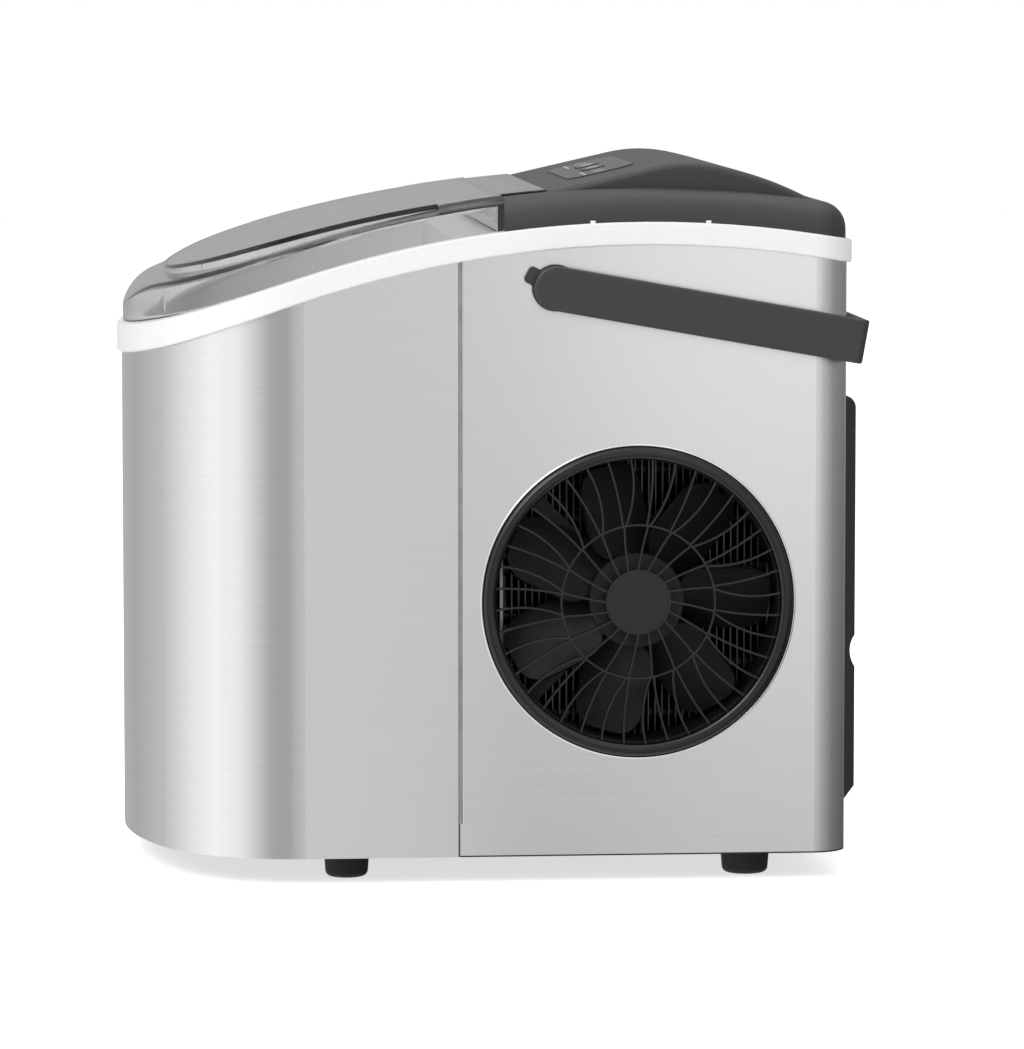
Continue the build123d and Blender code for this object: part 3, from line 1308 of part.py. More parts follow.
def condenser_brackets():
    """End plates that stand on the base and carry the condenser."""
    brackets = None
    for side in (-1, 1):
        y = CONDENSER_Y + side * (CONDENSER_LENGTH / 2 + END_PLATE / 2)
        bracket = condenser_plate(y, END_PLATE, FIN_MARGIN)
        half = CONDENSER_DEPTH / 2
        low = condenser_levels()[-1] - FIN_MARGIN
        leg_x = (CONDENSER_X - half, CONDENSER_X + half)
        bracket += block(leg_x, (y - END_PLATE / 2, y + END_PLATE / 2), (BASE_TOP, low))
        foot_y = sorted((y + side * END_PLATE / 2, y + side * FIN_MARGIN))
        bracket += block(leg_x, foot_y, (BASE_TOP, BASE_TOP + END_PLATE))
        brackets = bracket if brackets is None else brackets + bracket
    return brackets


def drier_bottom():
    """Lower end of the filter drier."""
    return condenser_levels()[-1]


def liquid_line():
    """Pipe from the condenser's outlet to the filter drier."""
    low = condenser_levels()[-1] - 2 * LINE_BEND
    floor = low - 2 * LINE_BEND
    points = [
        (CONDENSER_X, CONDENSER_REAR, low),
        (CONDENSER_X, CONDENSER_REAR, floor),
        (DRIER_X, CONDENSER_REAR, floor),
        (DRIER_X, CONDENSER_REAR, drier_bottom()),
    ]
    return tube(points, LINE_RADIUS, LINE_BEND)


def filter_drier():
    """Copper filter drier with necked ends."""
    ends = (drier_bottom(), drier_bottom() + DRIER_LENGTH)
    can = rod_z(DRIER_RADIUS, DRIER_X, CONDENSER_REAR, ends)
    rims = can.edges().filter_by(GeomType.CIRCLE)
    return fillet(rims, DRIER_RADIUS / 2)


def capillary_line():
    """Thin pipe from the drier over the compressor to the evaporator."""
    outer = evaporator_ends()[0]
    level = PIPE_Z - 2.5 * LINE_BEND
    turn_y = COVER_FRONT + 4 * LINE_BEND
    points = [
        (DRIER_X, CONDENSER_REAR, drier_bottom() + DRIER_LENGTH),
        (DRIER_X, CONDENSER_REAR, level),
        (outer, CONDENSER_REAR, level),
        (outer, turn_y, level),
        (outer, turn_y, PIPE_Z),
        (outer, COVER_FRONT, PIPE_Z),
    ]
    return tube(points, CAPILLARY_RADIUS, LINE_BEND)


def fan_face(section):
    """Place a flat section on the fan's axis, seen from the right."""
    return Plane(origin=(0, FAN_Y, FAN_Z), x_dir=(0, 1, 0), z_dir=(1, 0, 0)) * section


def fan_slab(section, x):
    """Extrude a flat section along the fan's axis between two limits."""
    return extrude(Pos(x[0], 0, 0) * fan_face(section), amount=x[1] - x[0])


def polar(radius, degrees):
    """Point at a radius and an angle, clockwise seen from the right."""
    angle = radians(-degrees)
    return radius * cos(angle), radius * sin(angle)


def grille_ribs():
    """Curved ribs: pairs outside the middle ring that run into single ribs inside it."""
    outer = FAN_HOLE_RADIUS - GRILLE_GAP - GRILLE_RING / 2
    inner = GRILLE_HUB_RADIUS - GRILLE_RIB
    outside = (outer, (outer + GRILLE_MID_RADIUS) / 2, GRILLE_MID_RADIUS)
    inside = (GRILLE_MID_RADIUS, (GRILLE_MID_RADIUS + GRILLE_HUB_RADIUS) / 2, inner)
    ribs = Sketch()
    for pair in range(GRILLE_PAIRS):
        turn = 360.0 / GRILLE_PAIRS * pair
        for radii, angles in ((outside, RIB_LEADING), (outside, RIB_TRAILING), (inside, RIB_INNER)):
            start, bow, end = (polar(radius, turn + angle) for radius, angle in zip(radii, angles))
            ribs += trace(ThreePointArc(start, bow, end), GRILLE_RIB)
    return ribs


def fan_grille():
    """Black grille: round ring in the steel hole, curved ribs, hub cap and a square flange behind."""
    outer = FAN_HOLE_RADIUS - GRILLE_GAP
    inner = outer - GRILLE_RING
    face = SIDE_X + GRILLE_PROUD
    flange = RectangleRounded(FAN_SIZE, FAN_SIZE, FAN_WALL * 2) + Circle(FAN_HOLE_RADIUS + GRILLE_LIP)
    grille = fan_slab(flange - Circle(inner), (FAN_FRONT, STEEL_INSIDE)) & plan_block(-STEEL)
    ring = fan_slab(Circle(outer) - Circle(inner), (STEEL_INSIDE, face))
    crown = ring.faces().sort_by(Axis.X)[-1].edges()
    grille += fillet(crown, GRILLE_RING * 0.4)
    ribs = grille_ribs()
    ribs += Circle(GRILLE_MID_RADIUS + GRILLE_RIB / 2) - Circle(GRILLE_MID_RADIUS - GRILLE_RIB / 2)
    grille += fan_slab(ribs, (SIDE_X - GRILLE_RIB_DEPTH, SIDE_X))
    cap = fan_slab(Circle(GRILLE_HUB_RADIUS), (SIDE_X - GRILLE_RIB_DEPTH, SIDE_X + GRILLE_RIB))
    cap -= fan_slab(Circle(GRILLE_HUB_RADIUS - GRILLE_RIB), (SIDE_X + GRILLE_RIB / 2, face))
    grille += cap
    for y, z in fan_screw_places():
        grille -= rod_x(SCREW_RADIUS, (FAN_FRONT - 1, STEEL_INSIDE - STEEL / 2), y, z)
    return grille


def fan_screw_places():
    """Screws at the four corners of the fan."""
    offset = FAN_SCREW_OFFSET
    return [(FAN_Y + sy * offset, FAN_Z + sz * offset) for sy in (-1, 1) for sz in (-1, 1)]


def fan_frame():
    """Square fan housing with a round duct and a spider for the motor."""
    square = RectangleRounded(FAN_SIZE, FAN_SIZE, FAN_WALL * 2)
    frame = fan_slab(square - Circle(FAN_BORE), (FAN_BACK, FAN_FRONT))
    spider = Circle(FAN_HUB_RADIUS)
    strut = Pos(FAN_BORE / 2, 0) * Rectangle(FAN_BORE + FAN_WALL, 2 * FAN_WALL)
    for arm in range(4):
        spider += Rot(0, 0, 45 + 90 * arm) * strut
    frame += fan_slab(spider, (FAN_BACK, FAN_BACK + FAN_WALL))
    for y, z in fan_screw_places():
        frame -= rod_x(SCREW_RADIUS + FIT_GAP, (FAN_BACK - 1, FAN_FRONT + 1), y, z)
    return frame


def fan_motor():
    """Stator on the spider, inside the rotor's cup, with the shaft bore."""
    start = FAN_BACK + FAN_WALL
    stator = rod_x(FAN_HUB_RADIUS - 2 * FAN_WALL, (start, FAN_FRONT - 3 * FAN_WALL), FAN_Y, FAN_Z)
    return stator - rod_x(FAN_SHAFT_RADIUS + RUNNING_GAP, (0, STOCK), FAN_Y, FAN_Z)


def fan_rotor():
    """Rotor cup with its shaft and swept blades."""
    start = FAN_BACK + FAN_WALL + 1
    end = FAN_FRONT - FAN_WALL
    rotor = rod_x(FAN_HUB_RADIUS, (start, end), FAN_Y, FAN_Z)
    rotor -= rod_x(FAN_HUB_RADIUS - FAN_WALL, (start, end - FAN_WALL), FAN_Y, FAN_Z)
    length = FAN_BLADE_TIP - FAN_HUB_RADIUS + FAN_WALL / 2
    blade_outline = RectangleRounded(length, FAN_BLADE_CHORD, FAN_BLADE_CHORD / 3)
    middle = FAN_HUB_RADIUS - FAN_WALL / 2 + length / 2
    flat = extrude(blade_outline, amount=FAN_BLADE_THICKNESS / 2, both=True)
    room = rod_x(FAN_BLADE_TIP, (start, end), FAN_Y, FAN_Z)
    room -= rod_x(FAN_HUB_RADIUS - FAN_WALL / 2, (start, end), FAN_Y, FAN_Z)
    axis = Plane(origin=((start + end) / 2, FAN_Y, FAN_Z), x_dir=(0, 1, 0), z_dir=(1, 0, 0))
    for blade in range(FAN_BLADES):
        turned = Rot(0, 0, 360.0 / FAN_BLADES * blade) * Pos(middle, 0) * Rot(FAN_BLADE_PITCH, 0, 0) * flat
        rotor += (axis * turned) & room
    return rotor + rod_x(FAN_SHAFT_RADIUS, (start, end), FAN_Y, FAN_Z)


def fan_screws():
    """Long screws through the fan's corners into the grille flange."""
    screws = None
    for y, z in fan_screw_places():
        screw = rod_x(SCREW_HEAD_RADIUS, (FAN_BACK - SCREW_HEAD, FAN_BACK), y, z)
        screw += rod_x(SCREW_RADIUS - RUNNING_GAP, (FAN_BACK, STEEL_INSIDE - STEEL), y, z)
        screws = screw if screws is None else screws + screw
    return screws


def main_board():
    """Power board on stand-offs behind the bulkhead, with its tall components."""
    back = BULKHEAD_FRONT + BULKHEAD
    face = back + STANDOFF + BOARD_THICKNESS
    half = MAIN_BOARD_WIDTH / 2
    top = MAIN_BOARD_BOTTOM + MAIN_BOARD_HEIGHT
    across = (MAIN_BOARD_X - half, MAIN_BOARD_X + half)
    board = block(across, (back + STANDOFF, face), (MAIN_BOARD_BOTTOM, top))
    for x in (MAIN_BOARD_X - half + STANDOFF, MAIN_BOARD_X + half - STANDOFF):
        for z in (MAIN_BOARD_BOTTOM + STANDOFF, top - STANDOFF):
            board += rod_y(STANDOFF / 2, x, (back, back + STANDOFF), z)
    for x, width, height in BOARD_COMPONENTS:
        middle = MAIN_BOARD_X + x
        part_z = (MAIN_BOARD_BOTTOM + 2 * STANDOFF, MAIN_BOARD_BOTTOM + 2 * STANDOFF + width)
        board += block((middle - width / 2, middle + width / 2), (face, face + height), part_z)
    return board


PARTS = {
    "base_pan": base_pan,
    "rubber_feet": rubber_feet,
    "foot_screws": foot_screws,
    "front_wrap": front_wrap,
    "side_panel_right": lambda: side_panel(1),
    "side_panel_left": lambda: side_panel(-1),
    "rear_panel": rear_panel,
    "rear_panel_screws": rear_panel_screws,
    "cord_gland": cord_gland,
    "trim_ring": trim_ring,
    "bulkhead": bulkhead,
    "inner_tub": inner_tub,
    "insulation_foam": insulation_foam,
    "ice_basket": ice_basket,
    "drain_fitting": drain_fitting,
    "drain_cap": drain_cap,
    "lid": lid,
    "lid_hinge_pins": lid_hinge_pins,
    "top_cover": top_cover,
    "cover_screws": cover_screws,
    "control_panel": control_panel,
    "power_button": lambda: push_button(button_places()[0]),
    "select_button": lambda: push_button(button_places()[1]),
    "indicator_lights": indicator_lights,
    "control_board": control_board,
    "carry_handle": carry_handle,
    "handle_bosses": handle_bosses,
    "handle_pins": handle_pins,
    "evaporator": evaporator,
    "evaporator_bracket": evaporator_bracket,
    "water_tray": water_tray,
    "ice_shovel": ice_shovel,
    "tray_motor": tray_motor,
    "tray_bearing": tray_bearing,
    "water_pump": water_pump,
    "pump_hose": pump_hose,
    "water_level_float": water_level_float,
    "ice_sensors": ice_sensors,
    "compressor": compressor,
    "compressor_plate": compressor_plate,
    "compressor_grommets": compressor_grommets,
    "compressor_bolts": compressor_bolts,
    "suction_line": suction_line,
    "discharge_line": discharge_line,
    "condenser_tubes": condenser_tubes,
    "condenser_fins": condenser_fins,
    "condenser_brackets": condenser_brackets,
    "liquid_line": liquid_line,
    "filter_drier": filter_drier,
    "capillary_line": capillary_line,
    "fan_grille": fan_grille,
    "fan_frame": fan_frame,
    "fan_motor": fan_motor,
    "fan_rotor": fan_rotor,
    "fan_screws": fan_screws,
    "main_board": main_board,
}

os.makedirs("parts", exist_ok=True)
for name, make in PARTS.items():
    export_step(make(), f"parts/{name}.step")
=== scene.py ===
import math

import bpy
from mathutils import Matrix, Vector


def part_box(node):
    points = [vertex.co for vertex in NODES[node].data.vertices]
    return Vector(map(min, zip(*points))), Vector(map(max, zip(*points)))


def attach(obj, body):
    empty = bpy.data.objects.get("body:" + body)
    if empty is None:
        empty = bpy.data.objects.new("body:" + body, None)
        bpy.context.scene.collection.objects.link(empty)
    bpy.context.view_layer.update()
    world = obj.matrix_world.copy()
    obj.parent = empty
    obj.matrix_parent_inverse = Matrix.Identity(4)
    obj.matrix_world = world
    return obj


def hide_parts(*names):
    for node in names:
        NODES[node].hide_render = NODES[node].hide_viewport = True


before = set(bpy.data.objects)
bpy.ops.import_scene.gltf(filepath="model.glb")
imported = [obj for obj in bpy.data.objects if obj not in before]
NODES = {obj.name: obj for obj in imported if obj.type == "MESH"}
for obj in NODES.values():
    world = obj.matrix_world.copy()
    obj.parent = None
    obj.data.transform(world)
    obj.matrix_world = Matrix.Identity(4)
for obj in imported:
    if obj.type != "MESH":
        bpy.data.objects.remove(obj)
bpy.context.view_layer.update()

# One millimetre in scene units
MM = 0.001

# Camera, as it stood for the photograph
CAMERA_TARGET = (0.0, 14.4, 134.5)
CAMERA_AZIMUTH = 85.14
CAMERA_ELEVATION = 5.48
CAMERA_DISTANCE = 2443.0
CAMERA_LENS = 199.7
SENSOR = 36.0

# Studio lamps: place, side of the soft box and power in watts
KEY_LAMP = ((1400.0, -1300.0, 1700.0), 1400.0, 24.0)
TOP_LAMP = ((0.0, 200.0, 2200.0), 1600.0, 8.0)

# Studio floor, and the wall that reflections see
FLOOR_HALF = 6000.0
WALL_RADIUS = 3000.0
WALL_HEIGHT = 2600.0
WALL_FACES = 96
WALL_PEAK = 1.4
# Between these two heights the wall falls to its foot's share of the peak
WALL_LOW = -450.0
WALL_HIGH = 150.0
WALL_FOOT = 0.35
# Azimuths in degrees between which that fall sets in
WALL_DIM_FROM = 3.9
WALL_DIM_TO = 4.6
# Share of the wall's peak brightness by azimuth, from +X towards +Y
WALL_LEVELS = (
    (-180, 0.33),
    (-150, 0.35),
    (-92, 0.78),
    (-70, 0.9),
    (-50, 0.78),
    (-25, 0.33),
    (-10, 0.34),
    (2.2, 0.6),
    (3.8, 0.43),
    (4.6, 0.77),
    (9, 1.0),
    (30, 0.62),
    (70, 0.3),
    (130, 0.2),
    (180, 0.33),
)
# Light from the surroundings, and what the floor adds where it is seen
WORLD_FILL = 0.6
FLOOR_GLOW = 0.66

# Density of the smoke in the lid's plastic, per metre
LID_SMOKE = 105.0

# Fan opening in the right side, and the rolled edge of its steel
FAN_Y = 55.9
FAN_Z = 113.5
SIDE_X = 111.0
FAN_HOLE_RADIUS = 63.0
ROLLED_EDGE = 0.5
RING_POINTS = 128
BEAD_POINTS = 12

# Rear panel screws
SCREW_HEAD_RADIUS = 2.8
SCREW_HEAD = 1.0
SCREW_CHAMFER = 0.6
SCREW_RADIUS = 1.45
RECESS_WIDTH = 0.9
RECESS_LENGTH = 3.2
RECESS_DEPTH = 0.6
HEAD_SIDES = 40
SHANK_SIDES = 24

# Control face, and the print on it
CONTROL_Y = 47.0
CONTROL_Z = 283.8
CONTROL_SLOPE = 12.9
PANEL_PROUD = 0.5
BUTTON_TOP = 1.0
BUTTON_SPACING = 26.0
INK = 0.06
MARK_LENGTH = 5.0
MARK_WIDTH = 0.9
MARK_SPACING = 8.0
MARK_ROUNDING = 0.45
MARK_CORNER_POINTS = 5
MARKS_IN_ROW = 3
WELD = 0.01
MARK_FROM_MIDDLE = 36.0
MARK_BELOW_LIGHTS = 6.5
SYMBOL_RADIUS = 2.2
SYMBOL_LINE = 0.35

# Part of a noise pattern's range that drives a colour or a value
PATTERN_LOW = 0.3
PATTERN_HIGH = 0.7


def colour(text):
    """Linear RGBA from an sRGB hex value."""
    channels = [int(text[place : place + 2], 16) / 255 for place in (1, 3, 5)]
    linear = [c / 12.92 if c <= 0.04045 else ((c + 0.055) / 1.055) ** 2.4 for c in channels]
    return (*linear, 1.0)


def per_mm(size):
    """Texture scale that gives one cycle in a size in millimetres."""
    return 1 / (size * MM)


def add(tree, kind, inputs=None, **settings):
    """Add a node with its settings, its values and its links."""
    made = tree.nodes.new(kind)
    for name, value in settings.items():
        setattr(made, name, value)
    for socket, value in (inputs or {}).items():
        if isinstance(value, bpy.types.NodeSocket):
            tree.links.new(value, made.inputs[socket])
        else:
            made.inputs[socket].default_value = value
    return made


def finish(name, base, roughness, **inputs):
    """Material with one Principled shader, its tree and the shader node."""
    material = bpy.data.materials.new(name)
    material.use_nodes = True
    tree = material.node_tree
    tree.nodes.clear()
    values = {"Base Color": colour(base), "Roughness": roughness}
    for key, value in inputs.items():
        socket = "IOR" if key == "ior" else key.replace("_", " ").title()
        values[socket] = value
    shader = add(tree, "ShaderNodeBsdfPrincipled", values)
    add(tree, "ShaderNodeOutputMaterial", {"Surface": shader.outputs["BSDF"]})
    return material, tree, shader


def object_noise(tree, size, detail=3.0, stretch=(1, 1, 1)):
    """Noise on object coordinates with a grain size in millimetres."""
    place = add(tree, "ShaderNodeTexCoord")
    scale = tuple(per_mm(size) / part for part in stretch)
    mapped = add(tree, "ShaderNodeMapping", {"Vector": place.outputs["Object"], "Scale": scale})
    grain = {"Vector": mapped.outputs["Vector"], "Scale": 1.0, "Detail": detail}
    return add(tree, "ShaderNodeTexNoise", grain)


def vary(tree, shader, socket, source, low, high):
    """Drive a shader value between two limits from a 0 to 1 pattern."""
    limits = {"From Min": PATTERN_LOW, "From Max": PATTERN_HIGH, "To Min": low, "To Max": high}
    span = add(tree, "ShaderNodeMapRange", {"Value": source, **limits})
    tree.links.new(span.outputs["Result"], shader.inputs[socket])


def tint(tree, shader, source, dark, light):
    """Vary the base colour between two hex values from a 0 to 1 pattern."""
    ramp = add(tree, "ShaderNodeValToRGB", {"Fac": source})
    first, last = ramp.color_ramp.elements
    first.color = colour(dark)
    first.position = PATTERN_LOW
    last.color = colour(light)
    last.position = PATTERN_HIGH
    tree.links.new(ramp.outputs["Color"], shader.inputs["Base Color"])


def emboss(tree, shader, source, height):
    """Bump of a real height in millimetres from a 0 to 1 pattern."""
    bump = add(tree, "ShaderNodeBump", {"Height": source, "Distance": height * MM, "Strength": 1.0})
    tree.links.new(bump.outputs["Normal"], shader.inputs["Normal"])


def brushed_stainless():
    """Brushed 430 stainless sheet: fine level lines, and light drawn out into upright bands."""
    material, tree, shader = finish("brushed_stainless", "#dcdcdc", 0.2, metallic=1.0, anisotropic=0.92)
    # Level brush lines spread light up and down, so the sheet mirrors upright bands
    shader.inputs["Anisotropic Rotation"].default_value = 0.25
    around = add(tree, "ShaderNodeTangent", direction_type="RADIAL", axis="Z")
    tree.links.new(around.outputs["Tangent"], shader.inputs["Tangent"])
    # Real brush lines are near 0.05 mm apart, drawn here 0.25 mm apart so that they just show
    lines = object_noise(tree, 0.25, 2.0, (240, 240, 1))
    tint(tree, shader, lines.outputs["Fac"], "#dadada", "#dedede")
    vary(tree, shader, "Roughness", lines.outputs["Fac"], 0.19, 0.205)
    return material


def moulded(name, dark, light, roughness, grain, depth, **inputs):
    """Moulded plastic with a spark-eroded grain of a given size and depth."""
    material, tree, shader = finish(name, light, roughness, **inputs)
    texture = object_noise(tree, grain, 2.0)
    tint(tree, shader, texture.outputs["Fac"], dark, light)
    vary(tree, shader, "Roughness", texture.outputs["Fac"], roughness - 0.04, roughness + 0.05)
    emboss(tree, shader, texture.outputs["Fac"], depth)
    return material


def plated(name, dark, light, roughness, size, metallic=1.0):
    """Metal with a faint cloud of colour and gloss, as plating and rolling leave it."""
    material, tree, shader = finish(name, light, roughness, metallic=metallic)
    cloud = object_noise(tree, size, 4.0)
    tint(tree, shader, cloud.outputs["Fac"], dark, light)
    vary(tree, shader, "Roughness", cloud.outputs["Fac"], roughness - 0.06, roughness + 0.08)
    return material


def smoked_lid():
    """Smoked polycarbonate: clear and glossy, grey through a thin wall and black seen edge on."""
    clear = {"transmission_weight": 1.0, "ior": 1.58}
    material, tree, shader = finish("smoked_polycarbonate", "#eeeeee", 0.06, **clear)
    flow = object_noise(tree, 60.0, 1.0)
    vary(tree, shader, "Roughness", flow.outputs["Fac"], 0.04, 0.08)
    smoke = add(tree, "ShaderNodeVolumeAbsorption", {"Color": colour("#2e2e2e"), "Density": LID_SMOKE})
    tree.links.new(smoke.outputs["Volume"], tree.nodes["Material Output"].inputs["Volume"])
    return material


def clear_basket():
    """Frosted styrene: milky and see-through, as a thin moulded basket is."""
    material, tree, shader = finish("frosted_styrene", "#e8e8e8", 0.35, transmission_weight=0.7, ior=1.55)
    frost = object_noise(tree, 1.5, 2.0)
    vary(tree, shader, "Roughness", frost.outputs["Fac"], 0.28, 0.42)
    return material


def light_bars():
    """Clear acrylic light bars: frosted, pale green and unlit."""
    material, tree, shader = finish("frosted_acrylic", "#dfe9e0", 0.4, transmission_weight=0.35, ior=1.49)
    frost = object_noise(tree, 0.6, 2.0)
    vary(tree, shader, "Roughness", frost.outputs["Fac"], 0.34, 0.48)
    return material


def circuit_board():
    """Lacquered glass-epoxy board: green, with the glass weave just showing through."""
    material, tree, shader = finish("lacquered_glass_epoxy", "#1d5a34", 0.3, coat_weight=0.4)
    weave = object_noise(tree, 1.2, 2.0, (1, 4, 1))
    tint(tree, shader, weave.outputs["Fac"], "#174a2a", "#226a3d")
    return material


def dress(material, *names):
    """Give CAD nodes a finish."""
    for name in names:
        for slot in NODES[name].material_slots:
            slot.material = material


def dress_nodes():
    """Finish every CAD node as its real material."""
    dress(brushed_stainless(), "front_wrap", "side_panel_right", "side_panel_left")
    # Satin white ABS: bright, with a soft sheen
    dress(moulded("satin_white_abs", "#f4f4f3", "#fafaf9", 0.36, 0.8, 0.003), "trim_ring")
    dress(smoked_lid(), "lid")
    # Lamplight goes through the clear lid to the basket below
    NODES["lid"].visible_shadow = False
    # Grained dark grey ABS: charcoal, with a fine matt grain that greys it under light
    grey = moulded("grained_grey_abs", "#303030", "#383838", 0.46, 0.6, 0.015)
    dress(grey, "top_cover", "carry_handle", "handle_bosses")
    # Moulded black ABS: black with a dull satin face
    black = moulded("moulded_black_abs", "#121212", "#181818", 0.4, 0.6, 0.01)
    dress(black, "base_pan", "rear_panel", "tray_motor", "water_pump", "ice_sensors")
    # Polished black ABS: deep black, with clear highlights on its rounded ring
    dress(moulded("polished_black_abs", "#0b0b0b", "#0f0f0f", 0.24, 0.8, 0.002), "fan_grille")
    # Glass-filled black nylon: black and dull, as fan frames and blades are, and made deeper still as
    # painted shade inside the casing
    dress(moulded("black_nylon_and_painted_shade", "#060606", "#0a0a0a", 0.55, 1.0, 0.01), "fan_frame", "fan_rotor")
    # Printed polycarbonate film: dark grey and satin, close to the cover round it
    dress(moulded("printed_film", "#3c3c3d", "#434344", 0.32, 0.5, 0.003), "control_panel")
    # Satin grey button ABS: a little lighter than the film round it
    dress(moulded("button_abs", "#505051", "#585859", 0.38, 0.6, 0.006), "power_button", "select_button")
    dress(light_bars(), "indicator_lights")
    # Black natural rubber: dull, with a dusty bloom
    rubber = moulded("black_rubber", "#141414", "#1f1f1f", 0.72, 1.2, 0.03)
    dress(rubber, "rubber_feet", "cord_gland", "drain_cap", "compressor_grommets")
    # Zinc-plated steel: bright blue-grey
    zinc = plated("zinc_plated_steel", "#a9adb0", "#c3c6c8", 0.3, 3.0)
    dress(zinc, "foot_screws", "rear_panel_screws", "cover_screws", "fan_screws")
    dress(zinc, "lid_hinge_pins", "handle_pins", "compressor_bolts")
    # Galvanised sheet: grey, with large dull spangles
    galvanised = plated("galvanised_sheet", "#9a9d9f", "#b9bcbe", 0.42, 9.0)
    dress(galvanised, "bulkhead", "compressor_plate", "condenser_brackets", "fan_motor")
    # Rigid polyurethane foam: cream and open, with small cells
    dress(moulded("polyurethane_foam", "#d8cba4", "#e9ddb8", 0.85, 1.6, 0.3), "insulation_foam")
    # Food-safe polypropylene: off-white and waxy
    white = moulded("polypropylene", "#e6e6e6", "#eeeeee", 0.4, 1.0, 0.005, subsurface_weight=0.05)
    dress(white, "inner_tub", "drain_fitting", "evaporator_bracket", "ice_shovel", "tray_bearing")
    dress(white, "water_level_float")
    dress(clear_basket(), "ice_basket")
    # Nickel-plated copper: warm silver, a little dulled by water
    dress(plated("nickel_plated_copper", "#b7b3aa", "#cfccc4", 0.22, 5.0), "evaporator")
    # Grey polypropylene: cool, waxy and plain
    dress(moulded("tray_polypropylene", "#7d8184", "#888c8f", 0.4, 1.0, 0.005), "water_tray")
    # Drawn copper: salmon pink, with brown bloom where it was brazed
    copper = plated("drawn_copper", "#8f5136", "#c98763", 0.3, 14.0)
    dress(copper, "suction_line", "discharge_line", "liquid_line", "filter_drier", "capillary_line")
    # Condenser tube: near black as painted shade inside the casing, with a dull gloss
    dress(plated("condenser_tube_painted_shade", "#161616", "#1e1e1e", 0.4, 10.0, 0.0), "condenser_tubes")
    # Aluminium fin stock, thin and slightly wavy in its gloss: real fins are silver, here dark grey as
    # painted shade inside the casing
    dress(plated("aluminium_fins_painted_shade", "#444546", "#58595a", 0.34, 6.0), "condenser_fins")
    # Black stoving enamel: deep black, semi-gloss, with a little orange peel
    dress(moulded("black_enamel", "#0f0f10", "#161617", 0.3, 2.5, 0.02, coat_weight=0.3), "compressor")
    dress(circuit_board(), "control_board", "main_board")
    # Silicone tube: milky and soft to look at
    silicone = moulded("silicone_tube", "#d6d6d0", "#e2e2dc", 0.45, 2.0, 0.01, subsurface_weight=0.1)
    dress(silicone, "pump_hose")


def growing_tree(name, sizes):
    """Geometry Nodes tree with named sizes, and its input node."""
    tree = bpy.data.node_groups.new(name, "GeometryNodeTree")
    tree.interface.new_socket("Geometry", in_out="OUTPUT", socket_type="NodeSocketGeometry")
    for size in sizes:
        tree.interface.new_socket(size, in_out="INPUT", socket_type="NodeSocketFloat")
    return tree, add(tree, "NodeGroupInput").outputs


def end_tree(tree, geometry, material):
    """Close a tree: real meshes, in one material."""
    real = add(tree, "GeometryNodeRealizeInstances", {"Geometry": geometry})
    coat = {"Geometry": real.outputs["Geometry"], "Material": material}
    coated = add(tree, "GeometryNodeSetMaterial", coat)
    add(tree, "NodeGroupOutput", {"Geometry": coated.outputs["Geometry"]})


def grow(name, tree, sizes, place):
    """Plain mesh piece from a tree with its sizes in millimetres, set in its place."""
    piece = bpy.data.objects.new(name, bpy.data.meshes.new(name + "_start"))
    bpy.context.collection.objects.link(piece)
    modifier = piece.modifiers.new(name, "NODES")
    modifier.node_group = tree
    for socket in tree.interface.items_tree:
        if socket.in_out == "INPUT":
            modifier[socket.identifier] = sizes[socket.name] * MM
    grown = piece.evaluated_get(bpy.context.evaluated_depsgraph_get())
    mesh = bpy.data.meshes.new_from_object(grown)
    piece.modifiers.remove(modifier)
    mesh.transform(place)
    piece.data = mesh
    mesh.name = name
    return piece


def ring_tree(material):
    """Round bead along a circle."""
    tree, size = growing_tree("ring_bead", ("Ring Radius", "Bead Radius"))
    around = {"Resolution": RING_POINTS, "Radius": size["Ring Radius"]}
    path = add(tree, "GeometryNodeCurvePrimitiveCircle", around)
    section = {"Resolution": BEAD_POINTS, "Radius": size["Bead Radius"]}
    bead = add(tree, "GeometryNodeCurvePrimitiveCircle", section)
    curves = {"Curve": path.outputs["Curve"], "Profile Curve": bead.outputs["Curve"]}
    swept = add(tree, "GeometryNodeCurveToMesh", curves)
    smooth = add(tree, "GeometryNodeSetShadeSmooth", {"Geometry": swept.outputs["Mesh"]})
    end_tree(tree, smooth.outputs["Geometry"], material)
    return tree


